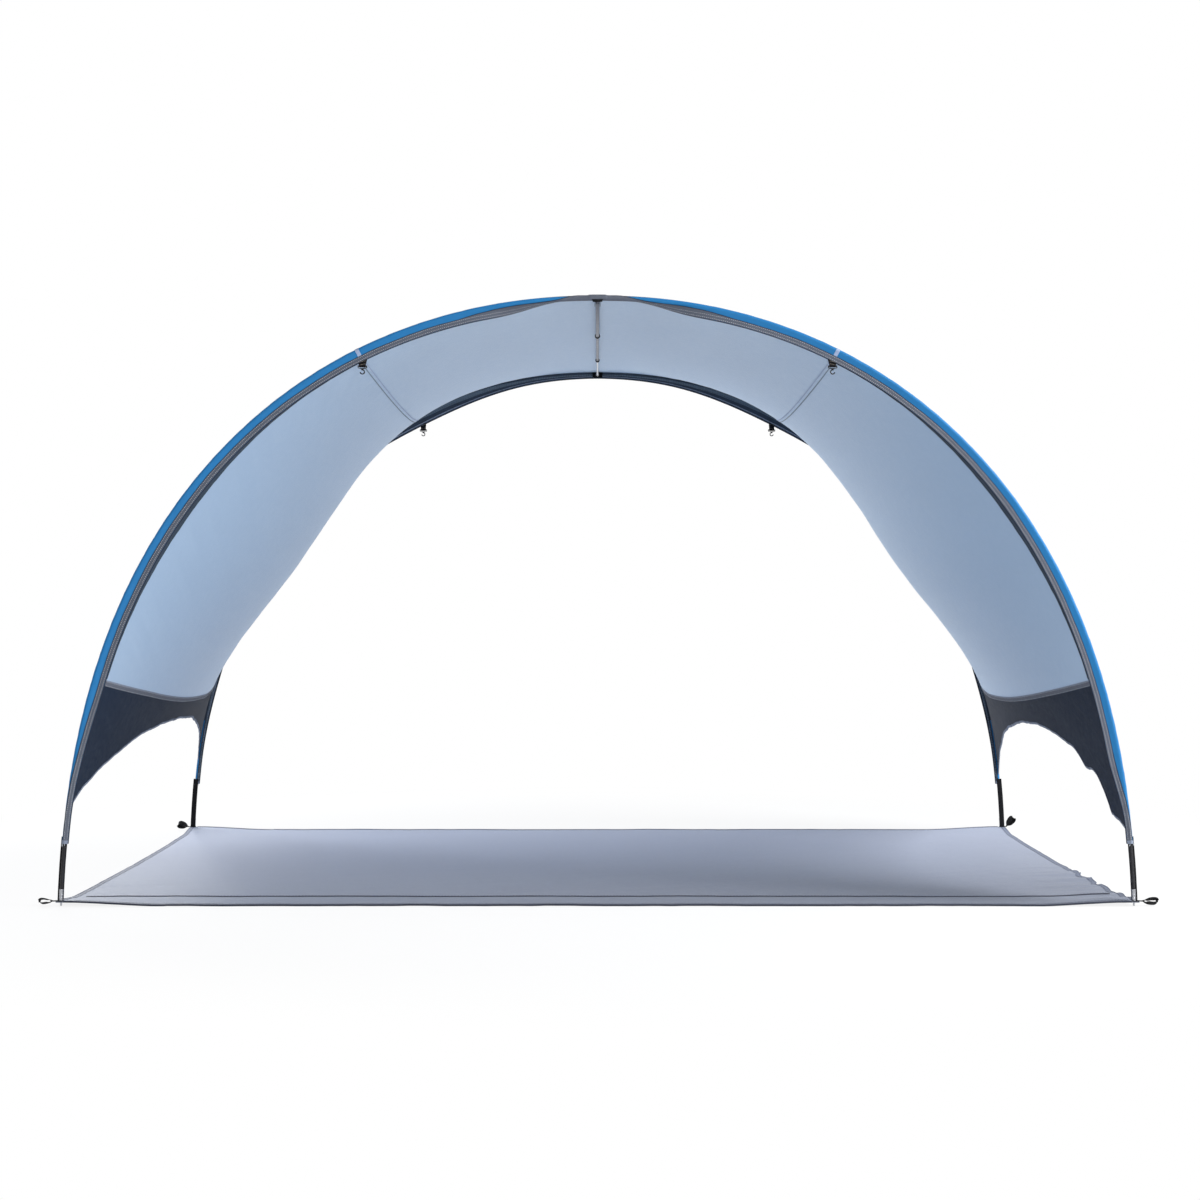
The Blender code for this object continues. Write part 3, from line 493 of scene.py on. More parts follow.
class Graph:
    """A node tree, with short calls that add a node and link what it reads."""

    def __init__(self, owner: Material | bpy.types.World) -> None:
        """Work on the node tree of a material or a world."""
        owner.use_nodes = True
        self.owner, self.tree = owner, owner.node_tree
        self.shader = self.tree.nodes.get("Principled BSDF")

    def put(self, target: Socket, value: object) -> None:
        """Give a socket a value, or link it to another socket.

        Args:
            target: The input.
            value: A number, a colour or an output socket.
        """
        if isinstance(value, Socket):
            self.tree.links.new(value, target)
        else:
            target.default_value = value

    def add(self, kind: str, inputs: dict | None = None, **settings: object) -> bpy.types.Node:
        """Add a node.

        Args:
            kind: Its type.
            inputs: Values or sockets by input name or number.
            settings: Properties of the node.

        Returns:
            The node.
        """
        made = self.tree.nodes.new(kind)
        for key, value in settings.items():
            setattr(made, key, value)
        for key, value in (inputs or {}).items():
            self.put(made.inputs[key], value)
        return made

    def sums(self, operation: str, first: object, second: object = 0.0) -> Socket:
        """Arithmetic on two numbers or sockets, by the operation's name."""
        return self.add("ShaderNodeMath", {0: first, 1: second}, operation=operation).outputs[0]

    def place(self, flat: bool, scale: Sequence[float] = (1.0, 1.0, 1.0)) -> Socket:
        """The coordinates that a pattern reads, scaled along each axis.

        Args:
            flat: Whether they are the piece's own flat map, and not its place in the object.
            scale: Factors along each axis.

        Returns:
            The socket with the scaled coordinates.
        """
        if flat:
            source = self.add("ShaderNodeUVMap", uv_map="flat").outputs[0]
        else:
            source = self.add("ShaderNodeTexCoord").outputs["Object"]
        return self.add("ShaderNodeMapping", {"Vector": source, "Scale": tuple(scale)}).outputs[0]

    def noise(self, where: Socket, scale: float, detail: float = 3.0,
              rough: float = 0.55) -> Socket:
        """Soft noise of so many waves to a metre, with its finer layers and their strength."""
        return self.add("ShaderNodeTexNoise", {"Vector": where, "Scale": scale, "Detail": detail,
                                               "Roughness": rough}).outputs[0]

    def ribs(self, where: Socket, axis: str, pitch: float) -> Socket:
        """Even ribs counted along an axis, by the distance between two of them."""
        wave_scale = 2 * math.pi / 20 / pitch
        return self.add("ShaderNodeTexWave", {"Vector": where, "Scale": wave_scale, "Distortion": 0.0},
                        wave_type="BANDS", bands_direction=axis).outputs["Fac"]

    def weave(self, pitch: float) -> Socket:
        """A plain weave on the flat map: the higher of warp and weft ribs at each place."""
        where = self.place(True)
        return self.sums("MAXIMUM", self.ribs(where, "X", pitch), self.ribs(where, "Y", pitch))

    def blend(self, share: object, first: object, second: object) -> Socket:
        """Two colours mixed.

        Args:
            share: How much of the second.
            first: A colour or socket.
            second: A colour or socket.

        Returns:
            The colour's socket.
        """
        mixed = self.add("ShaderNodeMix", data_type="RGBA")
        for word, value in (("Factor", share), ("A", first), ("B", second)):
            self.put(mixed.inputs[word], value)
        return mixed.outputs["Result"]

    def spread(self, value: Socket, low: float, high: float, to_low: float,
               to_high: float) -> Socket:
        """A number carried from the range low to high to the range to_low to to_high."""
        return self.add("ShaderNodeMapRange", {"Value": value, "From Min": low, "From Max": high,
                                               "To Min": to_low, "To Max": to_high}).outputs[0]

    def bump(self, layers: Sequence[tuple[Socket, float]]) -> None:
        """Heights added up in the shader's normal, one Bump node for each.

        Args:
            layers: For each its height's socket and its depth in metres.
        """
        normal = None
        for height, depth in layers:
            inputs = {"Height": height, "Distance": depth, "Strength": 1.0}
            if normal is not None:
                inputs["Normal"] = normal
            normal = self.add("ShaderNodeBump", inputs).outputs[0]
        self.put(self.shader.inputs["Normal"], normal)

    def set(self, **values: object) -> None:
        """Values or sockets for the shader, by input names with underscores."""
        for key, value in values.items():
            self.put(self.shader.inputs[key.replace("_", " ")], value)


def colour(code: str) -> tuple[float, float, float, float]:
    """A colour as the shader reads it: each channel c of the written colour becomes
    ((c + 0.055) / 1.055) to the power 2.4, or c / 12.92 below 0.04045.

    Args:
        code: Six hexadecimal digits.

    Returns:
        Linear red, green and blue, and a full alpha.
    """
    channels = [int(code[start:start + 2], 16) / 255 for start in (0, 2, 4)]
    linear = [((c + 0.055) / 1.055) ** 2.4 if c > 0.04045 else c / 12.92 for c in channels]
    return (*linear, 1.0)


def shaded(code: tuple[float, float, float, float], share: float) -> tuple[float, float, float, float]:
    """A colour made darker or lighter: its channels times a share, 1 at most."""
    return (*(min(channel * share, 1.0) for channel in code[:3]), 1.0)


@dataclass(frozen=True)
class CoatedCloth:
    """Woven polyester with a coating.

    Attributes:
        name: Name of the material.
        tone: Its colour.
        roughness: Of the coating.
        metallic: How far the coating is metal flake.
        sheen: Soft edge light of the fibres.
        thread: Distance between two threads.
        relief: Depth of the weave.
        crease: Depth of the soft creases.
        mottle: How far the colour drifts over the cloth.
        gloss: Strength of the mirrored light.
        fade: Strength of a painted light gradient: the cloth is painted paler towards the rear and darker towards
            the front.
        slant: How far to the left of the rear the painted palest part lies.
    """

    name: str
    tone: str
    roughness: float = 0.6
    metallic: float = 0.0
    sheen: float = 0.15
    thread: float = 0.0007
    relief: float = 0.00005
    crease: float = 0.0012
    mottle: float = 0.05
    gloss: float = 0.2
    fade: float = 0.0
    slant: float = 0.0

    def make(self) -> Material:
        """Build the material: the tone drifts with soft noise, and where fade is set a painted light
        gradient, paler at the rear and darker in front, takes the noise's place. Painted shade darkens the
        gaps between threads, and the bump adds the weave, fine crinkles and long soft creases."""
        graph = Graph(bpy.data.materials.new(self.name))
        tone = colour(self.tone)
        broad = graph.noise(graph.place(False), 2.6, 2.0)
        drift = graph.spread(broad, 0.3, 0.7, 0.0, 1.0)
        base = graph.blend(drift, shaded(tone, 1 - self.mottle), shaded(tone, 1 + self.mottle))
        # Painted light: a gradient along Y, tilted along X by slant, paints the cloth paler at the rear and
        # darker in front.
        if self.fade:
            place = graph.add("ShaderNodeSeparateXYZ", {"Vector": graph.place(False)}).outputs
            rear = graph.sums("SUBTRACT", place["Y"], graph.sums("MULTIPLY", place["X"], self.slant))
            base = graph.blend(graph.spread(rear, -0.9, 0.9, 0.0, 1.0), shaded(tone, 1 - self.fade),
                               shaded(tone, 1 + self.fade))
        weave = graph.weave(self.thread)
        # Painted shade: the gaps between threads are painted darker.
        threads = graph.blend(graph.spread(weave, 0.4, 1.0, 0.12, 0.0), base, shaded(tone, 0.62))
        fine = graph.noise(graph.place(False), 55.0, 5.0, 0.62)
        soft = graph.noise(graph.place(False, (1.0, 0.45, 1.0)), 7.0, 3.0, 0.5)
        graph.set(Base_Color=threads, Metallic=self.metallic, Sheen_Weight=self.sheen, Sheen_Roughness=0.4,
                  Specular_IOR_Level=self.gloss,
                  Roughness=graph.spread(fine, 0.3, 0.7, self.roughness - 0.05, self.roughness + 0.06))
        graph.bump([(soft, self.crease), (fine, self.crease / 14), (weave, self.relief)])
        return graph.owner


@dataclass(frozen=True)
class RibbedTape:
    """Grosgrain binding tape or webbing, ribbed across its length.

    Attributes:
        name: Name of the material.
        tone: Its colour.
        rib: Distance between two ribs.
        relief: Depth of the ribs.
        roughness: Of the yarn.
        sheen: Soft edge light of the yarn.
    """

    name: str
    tone: str
    rib: float = 0.0011
    relief: float = 0.00012
    roughness: float = 0.72
    sheen: float = 0.05

    def make(self) -> Material:
        """Build the material: ribs and crossing threads in the bump, painted shade in the grooves
        between the ribs, and faint wear in patches."""
        graph = Graph(bpy.data.materials.new(self.name))
        tone = colour(self.tone)
        where = graph.place(True)
        rib = graph.ribs(where, "Y", self.rib)
        yarn = graph.ribs(where, "X", self.rib * 0.6)
        wear = graph.noise(graph.place(False), 40.0, 4.0)
        base = graph.blend(graph.spread(wear, 0.35, 0.75, 0.0, 0.7), shaded(tone, 0.9), shaded(tone, 1.14))
        # Painted shade: the grooves between the ribs are painted darker.
        ribbed = graph.blend(graph.spread(rib, 0.0, 1.0, 0.28, 0.0), base, shaded(tone, 0.55))
        graph.set(Base_Color=ribbed, Sheen_Weight=self.sheen, Sheen_Roughness=0.5, Specular_IOR_Level=0.15,
                  Roughness=graph.spread(wear, 0.3, 0.7, self.roughness - 0.06, self.roughness + 0.08))
        graph.bump([(rib, self.relief), (yarn, self.relief * 0.5)])
        return graph.owner


@dataclass(frozen=True)
class Metal:
    """Drawn, turned or plated metal.

    Attributes:
        name: Name of the material.
        tone: Its colour.
        roughness: Of the surface.
        stretch: Factors on each axis for the fine lines, small along them.
        line: Depth of the lines.
    """

    name: str
    tone: str
    roughness: float = 0.28
    stretch: tuple[float, float, float] = (1.0, 0.03, 1.0)
    line: float = 0.00001

    def make(self) -> Material:
        """Build the material: fine drawn lines in the bump, and handling marks that dull it."""
        graph = Graph(bpy.data.materials.new(self.name))
        tone = colour(self.tone)
        lines = graph.noise(graph.place(False, self.stretch), 2600.0, 3.0, 0.7)
        marks = graph.noise(graph.place(False), 90.0, 5.0, 0.65)
        base = graph.blend(graph.spread(marks, 0.4, 0.75, 0.0, 0.6), tone, shaded(tone, 0.72))
        graph.set(Base_Color=base, Metallic=1.0,
                  Roughness=graph.spread(marks, 0.3, 0.75, self.roughness - 0.05, self.roughness + 0.14))
        graph.bump([(lines, self.line)])
        return graph.owner


@dataclass(frozen=True)
class Moulded:
    """Moulded plastic or a pultruded fibre rod.

    Attributes:
        name: Name of the material.
        tone: Its colour.
        roughness: Of the surface.
        grain: Waves of the grain to a metre.
        relief: Depth of the grain.
        stretch: Factors on each axis for the grain.
    """

    name: str
    tone: str
    roughness: float = 0.42
    grain: float = 900.0
    relief: float = 0.00003
    stretch: tuple[float, float, float] = (1.0, 1.0, 1.0)

    def make(self) -> Material:
        """Build the material: a fine grain in the bump, and rubbed patches that are smoother
        and a little paler."""
        graph = Graph(bpy.data.materials.new(self.name))
        tone = colour(self.tone)
        grain = graph.noise(graph.place(False, self.stretch), self.grain, 4.0, 0.6)
        rub = graph.noise(graph.place(False), 60.0, 4.0)
        base = graph.blend(graph.spread(rub, 0.4, 0.8, 0.0, 0.8), tone, shaded(tone, 1.7))
        graph.set(Base_Color=base, Specular_IOR_Level=0.25,
                  Roughness=graph.spread(rub, 0.35, 0.75, self.roughness + 0.07, self.roughness - 0.08))
        graph.bump([(grain, self.relief)])
        return graph.owner


@dataclass(frozen=True)
class Yarn:
    """Sewing thread or a braided cord's cover.

    Attributes:
        name: Name of the material.
        tone: Its colour.
        twist: Waves of the strands to a metre.
    """

    name: str
    tone: str
    twist: float = 1400.0

    def make(self) -> Material:
        """Build the material: strands in the bump, shade between them, and a dusty sheen."""
        graph = Graph(bpy.data.materials.new(self.name))
        tone = colour(self.tone)
        strand = graph.noise(graph.place(False), self.twist, 2.0)
        base = graph.blend(graph.spread(strand, 0.3, 0.7, 0.0, 1.0), shaded(tone, 0.75), shaded(tone, 1.08))
        graph.set(Base_Color=base, Roughness=graph.spread(strand, 0.3, 0.7, 0.7, 0.85), Sheen_Weight=0.1,
                  Sheen_Roughness=0.5, Specular_IOR_Level=0.15)
        graph.bump([(strand, 0.00008)])
        return graph.owner


def worn(kind: CoatedCloth | RibbedTape | Metal | Moulded | Yarn) -> Material:
    """A field of Finishes, whose material is built with it."""
    return field(default_factory=kind.make)


@dataclass(frozen=True)
class Finishes:
    """Every material of the shelter, by the part that wears it."""

    # Painted light: fade paints the lining a little paler at the rear and darker in front.
    lining: Material = worn(CoatedCloth("satin_lining", "a9c1db", roughness=0.46, metallic=0.25, sheen=0.05,
                                        crease=0.0022, gloss=0.5, fade=0.06))
    outside: Material = worn(CoatedCloth("azure_cloth", "1a70aa", roughness=0.55, sheen=0.05, crease=0.0022,
                                         gloss=0.3))
    skirt: Material = worn(CoatedCloth("navy_cloth", "152235", roughness=0.66, sheen=0.02, crease=0.002,
                                       gloss=0.1))
    sleeve: Material = worn(CoatedCloth("azure_sleeve", "1a70aa", roughness=0.5, sheen=0.05, crease=0.001,
                                        gloss=0.25))
    # Navy inner face of the sleeves, also used for the painted shade strip inside the canopy's front edge.
    sleeve_back: Material = worn(CoatedCloth("navy_sleeve", "343f4d", roughness=0.62, sheen=0.04,
                                             crease=0.001, gloss=0.15))
    binding: Material = worn(RibbedTape("grey_binding", "5f6470"))
    rear_tape: Material = worn(RibbedTape("rear_tape", "5f6e7c"))
    pale_binding: Material = worn(RibbedTape("pale_binding", "858ea0"))
    # Dark cord: piping on the rear sleeve and at the binding's top edge, and painted shade of the fold along the
    # front binding's inner edge.
    dark_piping: Material = worn(RibbedTape("dark_piping", "232734"))
    seam_line: Material = worn(RibbedTape("seam_line", "7f8fa0", rib=0.0009, relief=0.00005))
    notch: Material = worn(RibbedTape("pale_notch", "9fb0cf", rib=0.0009, relief=0.00006))
    # Painted light on the floor: fade paints the cloth and its hems paler at the rear and darker in front, and
    # slant moves the palest part to the left.
    floor: Material = worn(CoatedCloth("floor_cloth", "9ea5b7", roughness=0.62, sheen=0.05, thread=0.0009,
                                       relief=0.00008, crease=0.0016, fade=0.42, slant=0.28))
    floor_hem: Material = worn(CoatedCloth("floor_hem", "70778a", roughness=0.62, sheen=0.05, thread=0.0009,
                                           relief=0.00008, crease=0.0008, fade=0.36))
    # Dark edging: the rolled front and rear edges, and painted shade along the floor's cross seam.
    floor_edge: Material = worn(RibbedTape("floor_edging", "343845"))
    webbing: Material = worn(RibbedTape("black_webbing", "131317", rib=0.0016, relief=0.00022, roughness=0.8,
                                        sheen=0.03))
    # Beige bar-tack thread, whose colour also paints the highlight along the hooks' bars.
    bar_stitch: Material = worn(RibbedTape("bar_stitch", "a69c8e", rib=0.0009, relief=0.0001))
    thread: Material = worn(Yarn("pale_thread", "d6dae0"))
    dark_thread: Material = worn(Yarn("dark_thread", "2a2e38"))
    plastic: Material = worn(Moulded("moulded_plastic", "141417"))
    rod: Material = worn(Moulded("fibre_rod", "1a1a1e", roughness=0.36, grain=1500.0, relief=0.00002,
                                 stretch=(1.0, 1.0, 0.04)))
    bright: Material = worn(Metal("bright_metal", "a6a8ad", roughness=0.24, stretch=(0.05, 0.05, 1.0)))
    nut: Material = worn(Moulded("white_nut", "eef0f2", roughness=0.34))
    tube: Material = worn(Metal("ridge_tube", "6b6f7b", roughness=0.36))
    thin_tube: Material = worn(Metal("pale_tube", "c9ccd3", roughness=0.3))
    cord: Material = worn(Yarn("elastic_cord", "cfcfcf", twist=900.0))


@dataclass
class HoopLine:
    """The bent line of a hoop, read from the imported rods: a superellipse whose centre lies
    below the ground, x = -w cos(t)^(2/p), z = h sin(t)^(2/q) - sink, by its arc length.

    Attributes:
        half_span: Distance of a rod's end from the middle plane.
        half_depth: Distance of a hoop's plane from the middle.
        foot_height: Height of a rod's end.
        apex_height: Height of the line's top.
        sink: How far the superellipse's centre lies below the ground.
        side_power: Its power across.
        top_power: Its power upward.
        count: Points of its table on one side.
    """

    half_span: float
    half_depth: float
    foot_height: float
    apex_height: float
    sink: float = 0.2
    side_power: float = 2.1
    top_power: float = 2.5
    count: int = 6001
    table: Array = field(init=False)
    half_length: float = field(init=False)

    def __post_init__(self) -> None:
        """Work out the table of signed distance, place and outward normal."""
        top = self.apex_height + self.sink
        foot = (self.foot_height + self.sink) / top
        half_width = self.half_span / (1 - foot ** self.top_power) ** (1 / self.side_power)
        turn = np.linspace(math.asin(foot ** (self.top_power / 2)), math.pi / 2, self.count)
        x = -half_width * np.maximum(np.cos(turn), 0) ** (2 / self.side_power)
        z = top * np.sin(turn) ** (2 / self.top_power) - self.sink
        x[-1] = 0.0
        x, z = np.concatenate([x, -x[-2::-1]]), np.concatenate([z, z[-2::-1]])
        travelled = travel(np.stack([x, z], axis=-1))
        even = np.linspace(0, travelled[-1], 2 * self.count - 1)
        x, z = np.interp(even, travelled, x), np.interp(even, travelled, z)
        x, z = (x - x[::-1]) / 2, (z + z[::-1]) / 2
        dx, dz = np.gradient(x), np.gradient(z)
        reach = np.hypot(dx, dz)
        self.half_length = travelled[-1] / 2
        self.table = np.stack([even - self.half_length, x, z, -dz / reach, dx / reach])

    @staticmethod
    def from_frame() -> "HoopLine":
        """Read the line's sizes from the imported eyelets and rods."""
        low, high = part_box("eyelet_front_right")
        first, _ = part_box("front_pole_section_1")
        _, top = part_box("front_pole_section_4")
        rod = RodSizes()
        return HoopLine((low.x + high.x) / 2, -(low.y + high.y) / 2, first.z, top.z - rod.radius)

    def at(self, distance: Array | float, hoop: Hoop | None = None) -> tuple[Array, Array]:
        """Centre and outward normal of the line, in a hoop's plane or in the plane Y = 0.

        Args:
            distance: Signed distances from the apex, left negative.
            hoop: Which hoop, or None for the middle plane.

        Returns:
            Points and unit normals, with three coordinates each.
        """
        at = np.asarray(distance, dtype=float)
        x, z, nx, nz = (np.interp(at, self.table[0], row) for row in self.table[1:])
        beyond = np.abs(at) - self.half_length
        out = np.where(beyond > 0, beyond, 0.0) * np.sign(at)
        y = hoop.value * self.half_depth if hoop else 0.0
        return placed(x + out * nz, y, z - out * nx), unit(placed(nx, 0.0, nz))

    def height_at(self, height: Array | float) -> Array:
        """Distances from the apex, above zero, at which the line has these heights."""
        return -np.interp(height, self.table[2][:self.count], self.table[0][:self.count])

    def width_at(self, half_width: float) -> float:
        """Distance from the apex at which the line is so far from the middle plane."""
        return -float(np.interp(-half_width, self.table[1][:self.count], self.table[0][:self.count]))


@dataclass(frozen=True)
class RodSizes:
    """Sizes of the hollow rods, of their ferrules with two crimps, and of the cord in them."""

    radius: float = 0.00425
    bore: float = 0.0022
    ferrule_bore: float = 0.00455
    ferrule_radius: float = 0.00515
    grip: float = 0.035
    crimp_places: tuple[float, ...] = (0.30, 0.62)
    crimp_half: float = 0.0012
    crimp_depth: float = 0.0002
    cord: float = 0.0019
    sections: int = 7


@dataclass
class TentForm:
    """The shelter's surfaces: where the sleeves' tails turn and end, and the canopy between.

    Attributes:
        line: The hoops' line.
        sleeve_radius: Outer radius of a sleeve round its pole.
        sleeve_seam: Distance of the sleeve's seam from the pole's centre.
        tail_end: Distance of the tail's edge from the pole's centre.
        tail_half: Half the tail's thickness.
        leg_tail: Distance of the tail's edge from the pole's centre at a sleeve's end.
        rear_extra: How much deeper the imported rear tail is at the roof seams.
        rear_spread: Width of that bulge along the hoop.
        twist_flat: Half of the stretch at the apex on which the tail lies level.
        twist_ramp: Length on which it turns.
        gap: Clearance between canopy and tail.
        sag: How far the canopy is drawn in at half its depth, at most.
        sag_peak: The share of the height at which that is.
        sag_fullness: How fast it fades above and below.
        roof_seam_x: Distance of the roof seams from the middle plane, at the hoops' line.
        end_lean: How far a sleeve's end dips below its middle, because the pole leans.
        hem_rise: How far outward of the rear pole's centre the canopy is sewn on.
        hem_reach: How far inward of the rear pole's centre it is sewn on.
        seam_tail: How much longer the sewn rear tail is at the roof seams.
        arch_tail: How much longer it is above the legs.
        apex_tail: How much longer it is at the apex.
        pull_angle: How far the pull lines at the sleeves slant, in metres over the depth.
        folds: Heights of the pull lines in front and behind, the puckers and the long waves.
    """

    line: HoopLine
    sleeve_radius: float = 0.0065
    sleeve_seam: float = 0.0135
    tail_end: float = 0.0275
    tail_half: float = 0.0012
    leg_tail: float = 0.0085
    rear_extra: float = 0.020
    rear_spread: float = 0.34
    twist_flat: float = 0.07
    twist_ramp: float = 0.26
    gap: float = 0.0003
    sag: float = 0.183
    sag_peak: float = 0.65
    sag_fullness: float = 1.5
    roof_seam_x: float = 0.6115
    end_lean: float = 0.0014
    hem_rise: float = 0.0035
    hem_reach: float = 0.0062
    seam_tail: float = 0.027
    arch_tail: float = 0.009
    apex_tail: float = 0.007
    pull_angle: float = 0.9
    folds: tuple[float, float, float, float] = (0.0016, 0.0018, 0.0011, 0.0026)
    roof_seam: float = field(init=False)
    sleeve_end: float = field(init=False)

    def __post_init__(self) -> None:
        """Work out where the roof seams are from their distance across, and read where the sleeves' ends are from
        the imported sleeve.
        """
        sleeve_low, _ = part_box("front_sleeve")
        self.roof_seam = self.line.width_at(self.roof_seam_x)
        self.sleeve_end = float(self.line.height_at(sleeve_low.z + self.end_lean))

    def twist(self, at: Array) -> Array:
        """Angle from inward to level: a quarter turn by an S-curve rising to the apex."""
        return math.pi / 2 * smooth_step(1 - (np.abs(at) - self.twist_flat) / self.twist_ramp)

    def packed_tail(self, hoop: Hoop, at: Array) -> Array:
        """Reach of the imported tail: even, with a bell round each rear roof seam."""
        extra = self.rear_extra if hoop is Hoop.REAR else 0.0
        return self.tail_end + extra * bell((np.abs(at) - self.roof_seam) / self.rear_spread)

    def tail(self, hoop: Hoop, at: Array) -> Array:
        """How far the sewn tail reaches from the pole's centre. In front it is even, and narrows
        down both legs with an S-curve of the height, earlier on the left. At the rear a narrow
        one widens by a bell curve round each roof seam and a small one at the apex.

        Args:
            hoop: Which hoop.
            at: Signed distances from the apex.

        Returns:
            Distances.
        """
        at = np.asarray(at, dtype=float)
        height = self.line.at(at)[0][..., 2]
        if hoop is Hoop.REAR:
            seams = self.seam_tail * bell((np.abs(at) - self.roof_seam) / self.rear_spread)
            arch = self.arch_tail * smooth_step((height - 0.24) / 0.36) * (1 - bell(at / 0.4))
            return self.leg_tail + arch + seams + self.apex_tail * bell(at / 0.3)
        ramp = np.where(at < 0, (height - 0.22) / 0.36, (height - 0.20) / 0.20)
        return self.leg_tail + (self.tail_end - self.leg_tail) * smooth_step(ramp)

    def seam(self, hoop: Hoop, at: Array) -> Array:
        """Distance of the sleeve's seam from the pole, at least 1 mm less than the tail's."""
        return np.minimum(self.sleeve_seam, self.tail(hoop, at) - 0.001)

    def slope(self, hoop: Hoop, at: Array) -> Array:
        """Length of the slope from the seam up to the tube's side."""
        return np.hypot(self.seam(hoop, at), self.sleeve_radius - self.tail_half)

    def axes(self, hoop: Hoop, at: Array) -> tuple[Array, Array, Array]:
        """The sleeve's own axes: the pole's centre, the way its tail runs, and the way across
        the tail that starts inward. With twist a they are -cos(a) n + sin(a) i and
        sin(a) n + cos(a) i, for outward normal n and inward i.

        Args:
            hoop: Which hoop.
            at: Signed distances from the apex.

        Returns:
            Centres, tail directions and cross directions.
        """
        centre, normal = self.line.at(at, hoop)
        turn = (self.twist(np.asarray(at, dtype=float)) * (hoop is Hoop.FRONT))[..., None]
        inward = -hoop.value * REARWARD
        return (centre, -np.cos(turn) * normal + np.sin(turn) * inward,
                np.sin(turn) * normal + np.cos(turn) * inward)

    def front_edge(self, at: Array) -> Array:
        """Where the canopy leaves the front sleeve: at the tail's end, clear of its face.

        Args:
            at: Signed distances from the apex.

        Returns:
            Points.
        """
        centre, down, _ = self.axes(Hoop.FRONT, at)
        turn = self.twist(np.asarray(at, dtype=float))[..., None]
        reach = self.tail(Hoop.FRONT, np.asarray(at))[..., None] + self.gap * np.sin(turn)
        return centre + reach * down + (self.tail_half + self.gap) * np.cos(turn) * REARWARD

    def rear_edge(self, at: Array) -> tuple[Array, Array]:
        """The rear edge that the canopy is drawn towards, at the tail's end, and the one that
        it is sewn to, high on the sleeve's inner side, so that the tail hangs free below.

        Args:
            at: Signed distances from the apex.

        Returns:
            The two edges' points.
        """
        centre, normal = self.line.at(at, Hoop.REAR)
        turn = self.twist(np.asarray(at, dtype=float))[..., None]
        down = -np.cos(turn) * normal - np.sin(turn) * REARWARD
        drawn = centre + self.packed_tail(Hoop.REAR, np.asarray(at))[..., None] * down
        return drawn, centre + self.hem_rise * normal - self.hem_reach * REARWARD

    def canopy(self, at: Array, depth: Array) -> Array:
        """The canopy: a straight line from the front edge towards the rear tail, drawn in along
        the hoop's normal by 4 d (1 - d) times the sag, which is a sine of a power of the
        height. The last stretch rises to the rear seam with the sixth power of d.

        Args:
            at: Signed distances from the apex.
            depth: Shares of the depth, 0 at the front edge and 1 at the rear one.

        Returns:
            Points.
        """
        at, depth = paired(at, depth)
        centre, normal = self.line.at(at)
        height = np.clip(centre[..., 2] / self.line.apex_height, 0, 1)
        power = math.log(0.5) / math.log(self.sag_peak)
        drawn = self.sag * np.maximum(np.sin(math.pi * height ** power), 0) ** self.sag_fullness
        front, (toward, sewn) = self.front_edge(at), self.rear_edge(at)
        share = depth[..., None]
        bow = (4 * depth * (1 - depth) * drawn)[..., None]
        return front + (toward - front) * share + (sewn - toward) * share ** 6 - bow * normal

    def outline(self, hoop: Hoop, at: Array, reach: Array, face: int, lift: Array | float = 0.0) -> Array:
        """A point on a sleeve's outline, by its distance from the tail's end: along the flat
        tail, up the slope to the tube's side, then round the tube by arc length.

        Args:
            hoop: Which hoop.
            at: Signed distances from the apex.
            reach: Distances along the outline.
            face: -1 for the side that faces out of the shelter, 1 for the inner one.
            lift: How far off the outline the points lie.

        Returns:
            Points.
        """
        at, reach = paired(at, reach)
        radius, half, seam = self.sleeve_radius, self.tail_half, self.seam(hoop, at)
        tail, slope = self.tail(hoop, at), self.slope(hoop, at)
        flat = np.clip(reach, 0, tail - seam)
        ramp = np.clip(reach - (tail - seam), 0, slope) / slope
        arc = np.maximum(reach - (tail - seam) - slope, 0) / radius
        down = tail - flat - ramp * seam - radius * np.sin(arc)
        across = half + ramp * (radius - half) - radius * (1 - np.cos(arc))
        on_ramp, on_arc = (ramp > 0) & (arc <= 0), arc > 0
        off_down = np.where(on_arc, -np.sin(arc), np.where(on_ramp, (radius - half) / slope, 0.0))
        off_across = np.where(on_arc, np.cos(arc), np.where(on_ramp, seam / slope, 1.0))
        centre, way, side = self.axes(hoop, at)
        down, across = down + lift * off_down, face * (across + lift * off_across)
        return centre + down[..., None] * way + across[..., None] * side

    def surface(self, at: Array, depth: Array, lift: Array | float = 0.0) -> tuple[Array, Array]:
        """The canopy with its ripples, and its outward normals from small steps both ways.

        Args:
            at: Signed distances from the apex.
            depth: Shares of the depth.
            lift: How far outward of the cloth's middle the points lie.

        Returns:
            Points and unit normals.
        """
        at, depth = paired(at, depth)
        step = 0.002
        points = self.canopy(at, depth)
        along = self.canopy(at + step, depth) - self.canopy(at - step, depth)
        inner, outer = np.clip(depth - step, 0, 1), np.clip(depth + step, 0, 1)
        across = self.canopy(at, outer) - self.canopy(at, inner)
        normal = unit(np.cross(across, along))
        normal *= np.sign(np.sum(normal * self.line.at(at)[1], axis=-1, keepdims=True))
        total = np.asarray(self.ripples(at, depth) + lift)
        return points + total[..., None] * normal, normal

